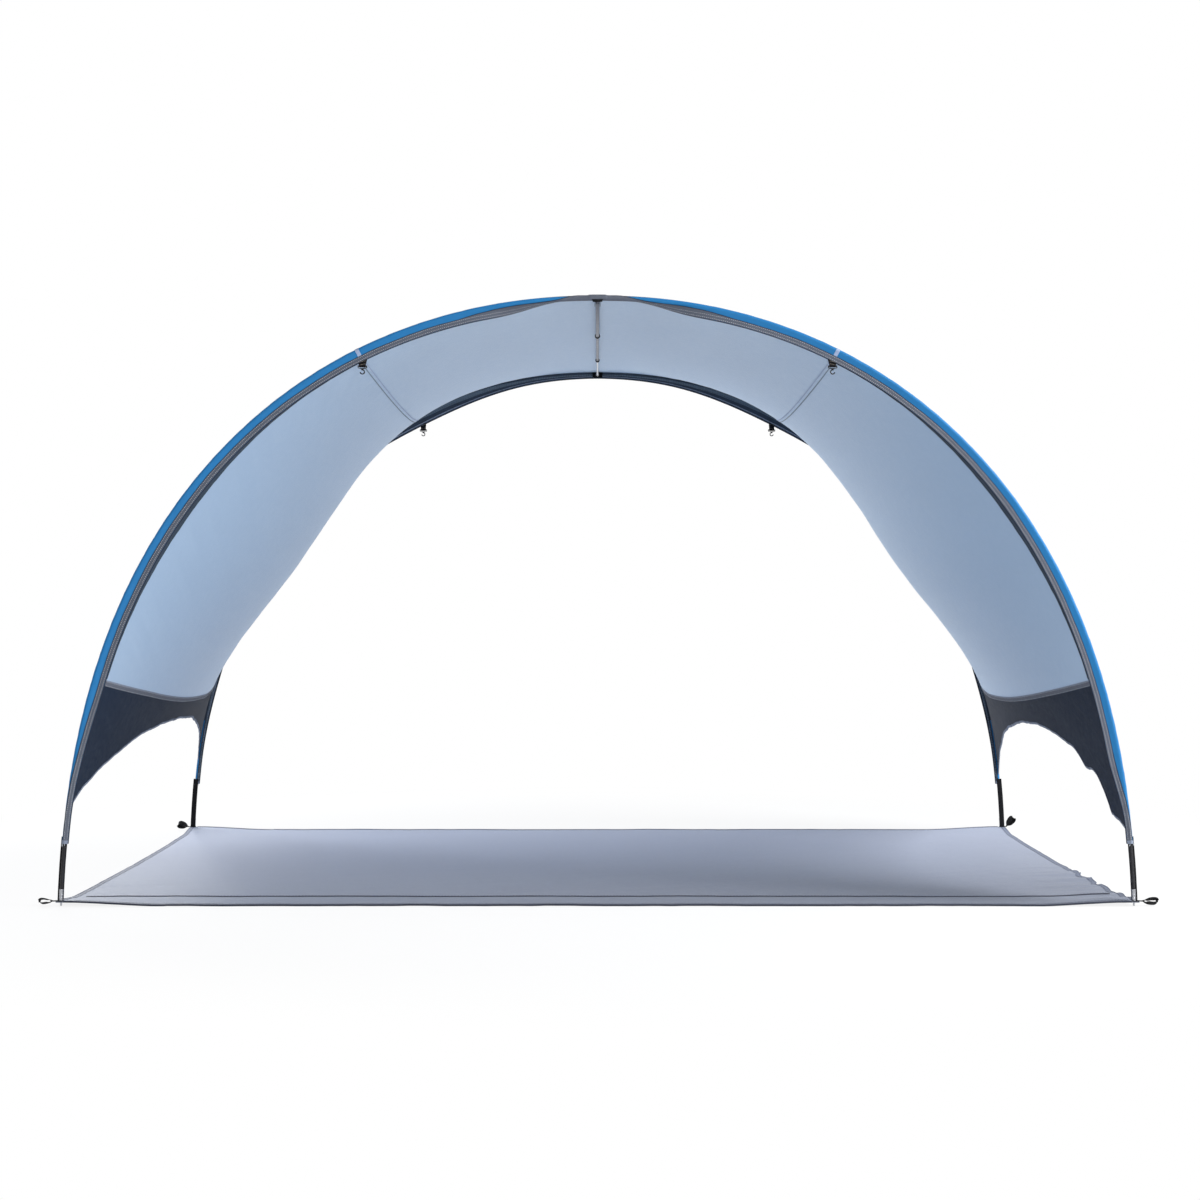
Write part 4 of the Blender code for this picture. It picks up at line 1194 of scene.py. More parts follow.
    def ripples(self, at: Array, depth: Array) -> Array:
        """Small folds in the cloth: pull lines fan out from the sewn edges and fade within a
        tenth of the depth, puckers run along the roof seams, and long shallow waves drift
        over the panels. All of it fades out at both sleeves.

        Args:
            at: Signed distances from the apex.
            depth: Shares of the depth.

        Returns:
            Heights outward of the smooth cloth.
        """
        front, rear, seam, long = self.folds
        free = smooth_step(depth / 0.06) * smooth_step((1 - depth) / 0.06)
        front_pull = waves(at + self.pull_angle * depth, 11, 0.115) * np.exp(-depth / 0.07)
        rear_pull = waves(at - self.pull_angle * depth, 12, 0.13) * np.exp(-(1 - depth) / 0.08)
        near_seam = bell((np.abs(at) - self.roof_seam) / 0.035)
        pucker = waves(depth * 1.7, 13, 0.085) * near_seam
        drift = waves(at + 0.35 * np.sin(3.1 * depth), 14, 0.9) * np.sin(np.pi * depth)
        return free * (front * front_pull + rear * rear_pull + seam * pucker + long * drift)


@dataclass
class Poles:
    """The hollow rods of both hoops with their ferrules, tips, eyelets and elastic cords.

    Attributes:
        form: The shelter's surfaces.
        finishes: The materials.
        rod: The rods' sizes.
        sides: Points round a rod.
        tip_sides: Points round a turned part.
        step: Distance between two rings along a rod.
        pin: Radius of a tip's pin.
        shoulder: Height of a tip's shoulder.
        cap: Length of a tip's cap.
        cap_floor: Thickness of the cap's floor.
        cap_crimp: Depth of the cap's two crimps.
    """

    form: TentForm
    finishes: Finishes
    rod: RodSizes = field(default_factory=RodSizes)
    sides: int = 20
    tip_sides: int = 32
    step: float = 0.02
    pin: float = 0.0025
    shoulder: float = 0.0141
    cap: float = 0.028
    cap_floor: float = 0.003
    cap_crimp: float = 0.00028

    def rings(self, hoop: Hoop, profile: Outline, sides: int) -> Array:
        """Rings round a hoop's line: centre + radius (cos a n + sin a y).

        Args:
            hoop: Which hoop.
            profile: Signed distances from the apex and radii there.
            sides: Points round each ring.

        Returns:
            Rings by points by three.
        """
        at, radius = np.array(profile).T
        centre, normal = self.form.line.at(at, hoop)
        turn = circle(1.0, sides)
        spoke = turn[None, :, :1] * normal[:, None] + turn[None, :, 1:] * REARWARD
        return centre[:, None] + radius[:, None, None] * spoke

    def build_section(self, hoop: Hoop, index: int) -> None:
        """One rod, closed through its bore. All but the last carry a crimped ferrule.

        Args:
            hoop: Which hoop.
            index: Which rod from the left foot, from 0.
        """
        rod, half, gap = self.rod, self.form.line.half_length, self.form.gap / 2
        length, last = 2 * half / rod.sections, index == rod.sections - 1
        start = index * length - half + (gap if index else 0)
        end = (index + 1) * length - half - (0 if last else gap)
        body_end, mouth = end if last else end - rod.grip, end + rod.grip
        profile = [(at, rod.radius) for at in spaced(start, body_end, self.step)]
        if not last:
            outside = [(at, rod.ferrule_radius) for at in spaced(body_end + MM, mouth - MM, self.step)]
            for share in rod.crimp_places:
                for off, deep in ((-rod.crimp_half, 0.0), (0.0, rod.crimp_depth), (rod.crimp_half, 0.0)):
                    outside.append((body_end + share * rod.grip + off, rod.ferrule_radius - deep))
            profile += [(body_end + MM / 10, rod.radius), (body_end + MM / 5, rod.ferrule_radius)]
            profile += sorted(outside)
            profile += [(mouth, rod.ferrule_radius - rod.crimp_depth), (mouth, rod.ferrule_bore),
                        (end, rod.ferrule_bore), (end, rod.radius)]
        profile += [(at, rod.bore) for at in spaced(end, start, self.step)]
        name = f"{hoop.name.lower()}_pole_section_{index + 1}"
        patch = Patch(self.rings(hoop, profile + profile[:1], self.sides), wrap=True)
        build_piece(name + "_rod", [patch], [self.finishes.rod], replaces=[name])

    def build_cord(self, hoop: Hoop) -> None:
        """The elastic cord inside a hoop."""
        half, name = self.form.line.half_length, hoop.name.lower() + "_shock_cord"
        rings = self.rings(hoop, [(at, self.rod.cord) for at in spaced(-half, half, self.step)], 10)
        build_piece(name + "_braid", capped_rings(rings), [self.finishes.cord], replaces=[name])

    def build_tip(self, corner: str) -> None:
        """The metal tip: a pin with a chamfered foot, a shoulder, a crimped cap that leans with
        the rod, and a bead round its mouth.

        Args:
            corner: Name of the corner.
        """
        hoop, side = CORNERS[corner]
        node = "pole_tip_" + corner
        low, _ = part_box(node)
        line, rod, pin, shoulder = self.form.line, self.rod, self.pin, self.shoulder
        plane = np.array((0.0, hoop.value * line.half_depth, 0.0))
        chamfer = 0.0006
        foot = [(low.z, pin - 0.0009), (low.z + 0.0012, pin), (shoulder - chamfer, pin),
                (shoulder, pin + 0.0004), (shoulder, rod.ferrule_radius - 0.0005),
                (shoulder + chamfer, rod.ferrule_radius)]
        rings = [turned(foot, plane + side.value * line.half_span * ACROSS, UPWARD, self.tip_sides)]
        height, crimp = self.cap - self.cap_floor, -self.cap_crimp
        outside = [(0.0, 0.0), (0.2, 0.0), (0.28, crimp), (0.36, 0.0), (0.5, 0.0), (0.58, crimp),
                   (0.66, 0.0), (0.9, 0.0), (0.94, 0.0002), (1.0, 0.0)]
        skin = [(share * height, rod.ferrule_radius + deep) for share, deep in outside]
        skin += [(height, rod.ferrule_bore), (0.0, rod.ferrule_bore)]
        centres, normals = line.at(np.array([at - line.half_length for at, _ in skin]))
        round_it = turned([(0.0, 1.0)], (0, 0, 0), UPWARD, self.tip_sides)[0]
        flip = np.array((-side.value, 1, 1))
        for (_, radius), centre, normal in zip(skin, centres * flip, unit(normals * flip)):
            spoke = round_it[:, :1] * normal * np.sign(normal[0]) + round_it[:, 1:2] * REARWARD
            rings.append((centre + plane + radius * spoke)[None])
        rings[-1] = rings[-1] - self.form.gap * UPWARD
        build_piece(node + "_turned", capped_rings(np.concatenate(rings)), [self.finishes.bright], 28.0,
                    replaces=[node])

    def build_eyelet(self, corner: str) -> None:
        """A rolled eyelet: two flanges with rounded rims joined by a barrel, turned about Z.

        Args:
            corner: Name of the corner.
        """
        node = "eyelet_" + corner
        low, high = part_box(node)
        reach, thick, bore, wall = (high.x - low.x) / 2, 0.0008, 0.0034, 0.004
        outline = [(low.z, bore), (low.z, reach), (low.z + thick, reach), (low.z + thick, wall),
                   (high.z - thick, wall), (high.z - thick, reach), (high.z, reach), (high.z, bore),
                   (low.z, bore)]
        centre = ((low.x + high.x) / 2, (low.y + high.y) / 2, 0.0)
        rings = turned(rounded(outline, thick * 0.45), centre, UPWARD, self.tip_sides)
        build_piece(node + "_rolled", [Patch(rings, wrap=True)], [self.finishes.bright], 30.0,
                    replaces=[node])

    def build(self) -> None:
        """Build both hoops, their cords and their feet."""
        for hoop in Hoop:
            for index in range(self.rod.sections):
                self.build_section(hoop, index)
            self.build_cord(hoop)
        for corner in CORNERS:
            self.build_tip(corner)
            self.build_eyelet(corner)


@dataclass
class Sleeves:
    """The fabric sleeves with their bindings, tapes, piping, notches and stitching.

    Attributes:
        form: The shelter's surfaces.
        finishes: The materials.
        bore: Radius of the open bore.
        step: Distance between two rings of the cloth.
        tape: Thickness of a tape.
        edge: How far a tape stays inside the tail's end.
        row_lift: How far off the outline the stitches lie.
        fold: Depth of the small folds round the tube.
        leg_top: Height below which the azure side shows on a rear leg.
        peak: How far the front binding climbs over the tube towards the apex.
        peak_reach: Distance from the apex at which that begins.
        pocket_climb: How much further it climbs at the pocket.
        rows: Shares of a binding's width at which its stitches run.
        notch_half: Half the width of a notch.
    """

    form: TentForm
    finishes: Finishes
    bore: float = 0.0054
    step: float = 0.012
    tape: float = 0.0005
    edge: float = 0.0002
    row_lift: float = 0.0008
    fold: float = 0.00045
    leg_top: float = 0.37
    peak: float = 0.027
    peak_reach: float = 0.36
    pocket_climb: float = 0.015
    rows: tuple[float, float] = (0.24, 0.78)
    notch_half: float = 0.005

    def places(self) -> Array:
        """Even places along a whole sleeve, as signed distances from the apex."""
        return spaced(-self.form.sleeve_end, self.form.sleeve_end, self.step)

    def flat_tail(self, hoop: Hoop, at: Array) -> Array:
        """Length of the tail's flat part, from its end to the seam."""
        return self.form.tail(hoop, at) - self.form.seam(hoop, at)

    def build_cloth(self, hoop: Hoop) -> None:
        """The sleeve as a closed shell: its outline outside, a round bore inside and a lip at
        each end. The side that faces out is azure over the top of the tube, and the inner side
        is navy. Small folds run round the tube.

        Args:
            hoop: Which hoop.
        """
        form, at = self.form, self.places()
        slope, tail = form.slope(hoop, at)[:, None], self.flat_tail(hoop, at)[:, None]
        quarter, share = form.sleeve_radius * math.pi / 2, np.linspace(0, 1, 4)
        beyond = np.concatenate([slope * share, slope + np.linspace(0, quarter, 9)[1:]], axis=1)
        reach = np.concatenate([share[:-1] * tail, tail + beyond], axis=1)
        folds = self.fold * waves(at[:, None] + 0.6 * reach, 21 + hoop.value, 0.075)
        folds = folds * smooth_step((reach - tail) / 0.012)
        calm = folds * (1 - smooth_step((reach - tail) / 0.02))
        outer = form.outline(hoop, at[:, None], reach, -1, folds)
        inner = form.outline(hoop, at[:, None], reach, 1, calm)
        inner[:, -1] = outer[:, -1]
        skin = np.concatenate([outer, inner[:, -2::-1]], axis=1)
        columns = skin.shape[1]
        centre, way, side = form.axes(hoop, at)
        turn = (np.linspace(-np.pi, np.pi, columns + 1)[:-1] + np.pi / columns)[None, :, None]
        lining = centre[:, None] + self.bore * (-np.cos(turn) * way[:, None] + np.sin(turn) * side[:, None])
        high, low = outer.shape[1] + 3, outer.shape[1] + 7
        leg = int(np.searchsorted(at, -float(form.line.height_at(self.leg_top))))
        bands = ((0, len(at), high),)
        if hoop is Hoop.REAR:
            bands = ((0, leg + 1, low), (leg, len(at) - leg, high), (len(at) - leg - 1, len(at), low))
        patches = []
        for first, last, border in bands:
            part = skin[first:last]
            patches.append(Patch(part[:, :border + 1], 0))
            patches.append(Patch(np.concatenate([part[:, border:], part[:, :1]], axis=1), 1))
        patches.append(Patch(lining[:, ::-1], 1, wrap=True))
        patches += [Patch(np.stack([skin[row], lining[row]]), 1, wrap=True) for row in (0, -1)]
        name = hoop.name.lower() + "_sleeve"
        build_piece(name + "_cloth", patches, [self.finishes.sleeve, self.finishes.sleeve_back],
                    replaces=[name])

    def ribbon(self, hoop: Hoop, at: Array, start: Array | float, end: Array | float, face: int,
               columns: int, lift: float, thickness: float | None = None) -> list[Patch]:
        """A tape laid on the sleeve's outline, as a thin closed sheet.

        Args:
            hoop: Which hoop.
            at: Signed distances from the apex.
            start: Where its first edge runs on the outline, for each distance or for all.
            end: Where its second edge runs.
            face: Which face of the sleeve it lies on.
            columns: Steps across it.
            lift: Distance of its middle from the outline.
            thickness: Of the tape, or None for the usual one.

        Returns:
            The patches of the tape.
        """
        start, end, at = np.broadcast_arrays(start, end, at)
        share = np.linspace(0, 1, columns + 1)[None, :]
        reach = start[:, None] * (1 - share) + end[:, None] * share
        grid, normal = self.seam_row(hoop, at[:, None], reach, face, lift)
        return thin_cloth(grid, thickness or self.tape, normal)

    def seam_row(self, hoop: Hoop, at: Array, reach: Array, face: int, lift: float) -> tuple[Array, Array]:
        """A line, or a grid, at a reach on the sleeve's outline, with its normals."""
        path = self.form.outline(hoop, at, reach, face, lift)
        return path, unit(self.form.outline(hoop, at, reach, face, lift + MM) - path)

    def stitches(self, name: str, hoop: Hoop, at: Array, reaches: Sequence[Array], face: int,
                 finish: Material, sizes: tuple[float, ...] = ()) -> None:
        """Rows of stitches at some reaches on one face of a sleeve."""
        rows = [self.seam_row(hoop, at, reach, face, self.row_lift) for reach in reaches]
        build_stitches(name, rows, finish, *sizes)

    def climb(self, at: Array) -> Array:
        """Climb of the front binding: its peak by 1 - sqrt(a^2 + 0.03^2) / reach, and a bell."""
        slant = np.maximum(1 - np.sqrt(at ** 2 + 0.03 ** 2) / self.peak_reach, 0)
        return self.peak * slant + self.pocket_climb * bell(at / 0.085)

    def build_front_binding(self) -> None:
        """The grey binding on the front tail with its two rows of stitches, a dark cord at its inner
        edge that paints the shade of the fold there, and the pale notches at the roof seams."""
        form, finishes, hoop, at = self.form, self.finishes, Hoop.FRONT, self.places()
        width = form.tail_end - form.sleeve_seam
        wobble = 0.0006 * waves(at, 31, 0.21)
        top = width + wobble + self.climb(at)
        build_piece("front_binding_tape", self.ribbon(hoop, at, self.edge, top, -1, 32, 0.0006),
                    [finishes.binding])
        self.stitches("front_binding_stitches", hoop, at, [share * width + wobble for share in self.rows], -1,
                      finishes.thread, (0.0050, 0.0038, 0.0012))
        edge = self.ribbon(hoop, at, top - 0.0006, top + 0.0007, -1, 2, 0.0008, 0.0006)
        build_piece("front_binding_edge", edge, [finishes.dark_piping])
        # Painted shade: a dark cord along the binding's inner edge stands for the fold's shadow.
        self.build_piping("front_piping", hoop, at, 0.0013)
        self.build_notches(hoop, 0.031, 14)

    def build_notches(self, hoop: Hoop, length: float, columns: int) -> None:
        """Two pale tapes that climb the outer side of the tube at the roof seams.

        Args:
            hoop: Which hoop.
            length: How far they reach round the tube.
            columns: Steps along that.
        """
        for side in Side:
            middle = side.value * self.form.roof_seam
            at = spaced(middle - self.notch_half, middle + self.notch_half, MM)
            first = self.flat_tail(hoop, at) + 0.0008
            patches = self.ribbon(hoop, at, first, first + length, -1, columns, 0.0005)
            build_piece(f"{hoop.name.lower()}_notch_{side.name.lower()}", patches, [self.finishes.notch])

    def build_piping(self, name: str, hoop: Hoop, at: Array, radius: float) -> None:
        """A dark cord along the tail's end: path + r (cos a, sin a) in the sleeve's axes. On the front sleeve it
        is painted shade of the binding's fold, on the rear one piping.

        Args:
            name: Name of the piece.
            hoop: Which hoop.
            at: Signed distances from the apex.
            radius: Of the cord.
        """
        centre, way, side = self.form.axes(hoop, at)
        path = centre + (self.form.tail(hoop, at)[:, None] + radius * 0.4) * way
        rings = swept(path, way, side, circle(radius, 10))
        build_piece(name, capped_rings(rings), [self.finishes.dark_piping])

    def build_rear_tapes(self) -> None:
        """What shows of the rear sleeve: inside a grey tape that is broad at the roof seams, a
        pale line below it and rows of dark stitches, then the piping at the free edge, and
        outside a grey binding and the pale notches."""
        form, finishes, hoop, at = self.form, self.finishes, Hoop.REAR, self.places()
        flat = self.flat_tail(hoop, at)
        broad = bell((np.abs(at) - form.roof_seam) / 0.30)
        width = 0.0045 + 0.0155 * broad
        upper = flat + form.slope(hoop, at) - 0.004 + 0.0007 * waves(at, 32, 0.17)
        build_piece("rear_sleeve_tape", self.ribbon(hoop, at, upper - width, upper, 1, 8, 0.0004),
                    [finishes.rear_tape])
        low = 0.0045
        pale = self.ribbon(hoop, at, low, low + 0.0018 + 0.0016 * broad, 1, 4, 0.0004)
        build_piece("rear_sleeve_hem_tape", pale, [finishes.pale_binding])
        self.stitches("rear_tape_stitches", hoop, at, [upper - share * width for share in (0.2, 0.8)], 1,
                      finishes.dark_thread)
        self.build_piping("rear_piping", hoop, at, 0.0011)
        outside = np.clip(flat, 0.006, 0.014)
        build_piece("rear_binding_tape", self.ribbon(hoop, at, self.edge, outside, -1, 5, 0.0004),
                    [finishes.binding])
        self.stitches("rear_binding_stitches", hoop, at, [share * outside for share in self.rows], -1,
                      finishes.thread)
        self.build_notches(hoop, 0.026, 12)

    def build_end(self, corner: str) -> None:
        """The grey tape round a sleeve's lower end, with a few loose yarns below it.

        Args:
            corner: Name of the corner.
        """
        hoop, side = CORNERS[corner]
        form, end = self.form, side.value * self.form.sleeve_end
        at = np.sort(np.linspace(end + side.value * 0.0008, end - side.value * 0.008, 6))
        last = np.array(end)
        around = float(self.flat_tail(hoop, last)) + float(form.slope(hoop, last))
        around += form.sleeve_radius * math.pi / 2
        patches = []
        for face in (-1, 1):
            patches += self.ribbon(hoop, at, self.edge / 2, around, face, 26, 0.0009, 0.0007)
        build_piece(f"sleeve_end_tape_{corner}", patches, [self.finishes.pale_binding])
        draw = np.random.default_rng(40 + list(CORNERS).index(corner))
        places, yarns = np.linspace(0, 1, 5), []
        _, way, across = form.axes(hoop, np.full(5, end))
        for _ in range(7):
            reach = draw.uniform(0.002, around)
            length = draw.uniform(0.003, 0.009)
            stray = reach + 0.002 * draw.normal() * places ** 2
            lift = 0.0006 + 0.002 * draw.uniform(0, 1) * places ** 2
            path = form.outline(hoop, end + side.value * length * places, stray, -1, lift)
            yarns += capped_rings(swept(path, way, across, circle(0.00028, 5)))
        build_piece(f"loose_yarns_{corner}", yarns, [self.finishes.thread])

    def build(self) -> None:
        """Build both sleeves and all that is sewn to them."""
        for hoop in Hoop:
            self.build_cloth(hoop)
        self.build_front_binding()
        self.build_rear_tapes()
        for corner in CORNERS:
            self.build_end(corner)


SKIRT_SEAM = ((0.0, 0.574), (0.1, 0.558), (0.2, 0.543), (0.3, 0.528), (0.45, 0.511), (0.6, 0.502),
              (0.74, 0.498), (0.84, 0.507), (0.91, 0.532), (0.96, 0.560), (1.0, 0.585))
SKIRT_HEM = {
    Side.LEFT: ((0.0, 0.262), (0.028, 0.288), (0.066, 0.313), (0.108, 0.341), (0.153, 0.362), (0.213, 0.393),
                (0.25, 0.409), (0.32, 0.425), (0.41, 0.438), (0.49, 0.442), (0.58, 0.436), (0.67, 0.424),
                (0.76, 0.396), (0.87, 0.355), (0.95, 0.304), (1.0, 0.238)),
    Side.RIGHT: ((0.0, 0.196), (0.026, 0.211), (0.052, 0.221), (0.066, 0.236), (0.071, 0.262),
                 (0.076, 0.286), (0.081, 0.312), (0.092, 0.331), (0.122, 0.337), (0.138, 0.346),
                 (0.146, 0.366), (0.158, 0.383), (0.189, 0.397), (0.215, 0.409), (0.289, 0.433),
                 (0.371, 0.440), (0.464, 0.434), (0.565, 0.412), (0.71, 0.370), (0.813, 0.322),
                 (0.939, 0.248), (1.0, 0.19)),
}


@dataclass
class Canopy:
    """The stretched cloth: roof and side panels with a lined inside, navy skirts with arched
    hems, and the seams, tapes and stitches between them.

    Attributes:
        form: The shelter's surfaces.
        finishes: The materials.
        thickness: Of the cloth.
        depth_cells: Cells over the depth.
        felled: Half the width of a roof seam.
        stitch: Pitch, length and thickness of the seams' stitches.
        hem_width: How far the hem binding grips the skirt.
        hem_wall: Thickness of the binding.
    """

    form: TentForm
    finishes: Finishes
    thickness: float = 0.0009
    depth_cells: int = 130
    felled: float = 0.006
    stitch: tuple[float, float, float] = (0.007, 0.005, 0.0008)
    hem_width: float = 0.0065
    hem_wall: float = 0.0005

    def depths(self, cells: int) -> Array:
        """Shares of the depth, closer together at both edges: (1 - cos(pi t)) / 2 mixed with t."""
        even = np.linspace(0, 1, cells + 1)
        return 0.5 * even + 0.25 * (1 - np.cos(math.pi * even))

    def skirt_seam(self, depth: Array) -> Array:
        """Distances from the apex of the skirt's seam, by a curve of its heights."""
        return self.form.line.height_at(knotted(depth, SKIRT_SEAM))

    def skirt_hem(self, depth: Array, side: Side) -> Array:
        """Distance from the apex of the skirt's hem: the line's distance at the heights of a
        curve through knots, with small waves.

        Args:
            depth: Shares of the depth.
            side: Which side.

        Returns:
            Distances, above zero.
        """
        fade = smooth_step(depth / 0.1) * smooth_step((1 - depth) / 0.06)
        small = 0.0022 * waves(depth, 61 + side.value, 0.13) * fade
        return self.form.line.height_at(knotted(depth, SKIRT_HEM[side]) + small)

    def grid(self, start: Array, end: Array, shares: Array, depth: Array, side: Side,
             lift: float = 0.0) -> tuple[Array, Array]:
        """Points and outward normals of the canopy, by shares of the way between two lines."""
        at = start[None, :] + (end - start)[None, :] * shares[:, None]
        return self.form.surface(side.value * at, np.broadcast_to(depth, at.shape), lift)

    def panel(self, node: str, start: Array | float, end: Array | float, cells: int, side: Side,
              lined: bool) -> None:
        """A panel between two lines over the depth, as a closed thin sheet on the hoops.

        Args:
            node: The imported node.
            start: Distances from the apex of its first edge.
            end: Those of its second edge.
            cells: Cells between them.
            side: Which side, for the sign of the distances.
            lined: Whether it is azure and lined inside, or navy on both faces.
        """
        depth, finishes = self.depths(self.depth_cells), self.finishes
        start, end = start + 0 * depth, end + 0 * depth
        points, normal = self.grid(start, end, np.linspace(0, 1, cells + 1), depth, side)
        wear = [finishes.outside, finishes.lining] if lined else [finishes.skirt]
        made = build_piece(node + "_cloth", thin_cloth(points, self.thickness, normal, int(lined)), wear,
                           replaces=[node])

    def build_panels(self) -> None:
        """The roof, the two side panels and the two skirts."""
        roof, depth = self.form.roof_seam, self.depths(self.depth_cells)
        self.panel("roof_panel", -roof, roof, 140, Side.RIGHT, True)
        for side in Side:
            word, seam = side.name.lower(), self.skirt_seam(depth)
            self.panel(f"{word}_side_panel", roof, seam, 170, side, True)
            self.panel(f"{word}_skirt", seam, self.skirt_hem(depth, side), 60, side, False)
            self.build_hem(side)

    def build_hem(self, side: Side) -> None:
        """A skirt's hem binding, a folded tape that grips the edge on both faces, with a row of
        stitches on each.

        Args:
            side: Which side.
        """
        word, depth = side.name.lower(), self.depths(420)
        hem = self.skirt_hem(depth, side)
        path, above = self.form.surface(side.value * hem, depth)
        inner, _ = self.form.surface(side.value * (hem - 0.004), depth)
        across = square_to(unit(inner - path), above)
        half, width, wall = self.thickness / 2 + MM / 10, self.hem_width, self.hem_wall
        upper = [(width, half + wall), (0.4 * wall, half + wall), (-wall, half * 0.6)]
        profile = upper + [(x, -y) for x, y in upper[::-1]]
        profile += [(width, -half), (0.0, -half), (0.0, half), (width, half)]
        rings = swept(path, across, above, np.array(profile))
        build_piece(f"{word}_skirt_binding", capped_rings(rings), [self.finishes.pale_binding])
        rows = [(path + 0.0045 * across + way * (half + wall + MM / 10) * above, above) for way in (-1, 1)]
        build_stitches(f"{word}_hem_stitches", rows, self.finishes.dark_thread, 0.006, 0.004, 0.0008)

    def seam_band(self, name: str, line: Callable[[Array], Array], side: Side, span: tuple[float, float],
                  lift: float, thickness: float, finish: Material, columns: int) -> None:
        """A band on the canopy along a line over the depth, as a thin closed sheet.

        Args:
            name: Name of the piece.
            line: Distances from the apex by share of the depth.
            side: Which side.
            span: Where the band begins and ends, measured from the line away from the apex.
            lift: Distance outward of the cloth's middle, below zero for the inner face.
            thickness: Of the band.
            finish: Its material.
            columns: Steps across it.
        """
        depth = self.depths(260)
        points, normal = self.grid(line(depth) + span[0], line(depth) + span[1],
                                   np.linspace(0, 1, columns + 1), depth, side, lift)
        build_piece(name, thin_cloth(points, thickness, normal), [finish])

    def seam_rows(self, name: str, line: Callable[[Array], Array], shifts: Sequence[float],
                  side: Side) -> None:
        """Rows of stitches along a line over the depth, on both faces.

        Args:
            name: Name of the piece.
            line: Distances from the apex by share of the depth.
            shifts: Distances of the rows from the line.
            side: Which side.
        """
        depth, rows = np.linspace(0.004, 0.996, 400), []
        for way in (-1, 1):
            for shift in shifts:
                at = side.value * (line(depth) + shift)
                path, normal = self.form.surface(at, depth, way * (self.thickness / 2 + 0.0009))
                rows.append((path, normal * way))
        build_stitches(name, rows, self.finishes.thread, *self.stitch)

    def roof_line(self, depth: Array) -> Array:
        """Distance from the apex of the roof seams: the same over the whole depth."""
        return self.form.roof_seam + 0 * depth

    def build_seams(self) -> None:
        """The felled roof seams with a pale and a dark line inside, the taped skirt seams on
        both faces, and the dark strip of painted shade that widens along the front edge of the sides."""
        finishes, off, wide = self.finishes, self.thickness / 2, self.felled
        for side in Side:
            word = side.name.lower()
            roof = (
                ("inner", (-wide, wide), -off - 0.0003, 0.0006, finishes.lining, 6),
                ("ridge", (-0.0066, -0.0042), -off - 0.0009, 0.0007, finishes.notch, 2),
                ("fold", (0.0030, 0.0062), -off - 0.0008, 0.0006, finishes.seam_line, 2),
                ("outer", (-wide, wide), off + 0.0003, 0.0006, finishes.outside, 6))
            skirt = (
                ("inner", (-0.0085, 0.0065), -off - 0.0004, 0.0007, finishes.binding, 8),
                ("outer", (-0.0085, 0.0065), off + 0.0004, 0.0007, finishes.binding, 8),
                ("edge", (-0.0095, -0.0065), -off - 0.0009, 0.0006, finishes.pale_binding, 2))
            for name, *rest in roof:
                self.seam_band(f"{word}_roof_seam_{name}", self.roof_line, side, *rest)
            self.seam_rows(f"{word}_roof_seam_stitches", self.roof_line, (-0.0035, 0.0035), side)
            for name, *rest in skirt:
                self.seam_band(f"{word}_skirt_tape_{name}", self.skirt_seam, side, *rest)
            self.seam_rows(f"{word}_skirt_seam_stitches", self.skirt_seam, (-0.0055, 0.0045), side)
            self.build_painted_shade(side)

    def build_painted_shade(self, side: Side) -> None:
        """A dark strip of painted shade inside the front edge, where the canopy folds, whose width is
        2 mm plus a bell curve of 13 mm round the shoulder, laid flat on the lining.

        Args:
            side: Which side.
        """
        form = self.form
        at = np.linspace(form.roof_seam + 0.012, float(self.skirt_seam(np.array(0.0))) - 0.012, 220)
        span = 2 * form.line.half_depth
        width = (0.002 + 0.013 * bell((at - 1.22) / 0.34) + 0.001 * waves(at, 71 + side.value, 0.14)) / span
        depth = np.linspace(0, 1, 7)[None, :] * width[:, None] + 0.0006
        points, normal = form.surface(side.value * at[:, None], depth, -self.thickness / 2 - 0.0004)
        # Painted shade: a dark strip where the canopy's fold lies in shadow.
        build_piece(f"{side.name.lower()}_front_facing",
                    thin_cloth(points, 0.0006, normal), [self.finishes.sleeve_back])

    def build(self) -> None:
        """Build all the cloth between the hoops."""
        self.build_panels()
        self.build_seams()


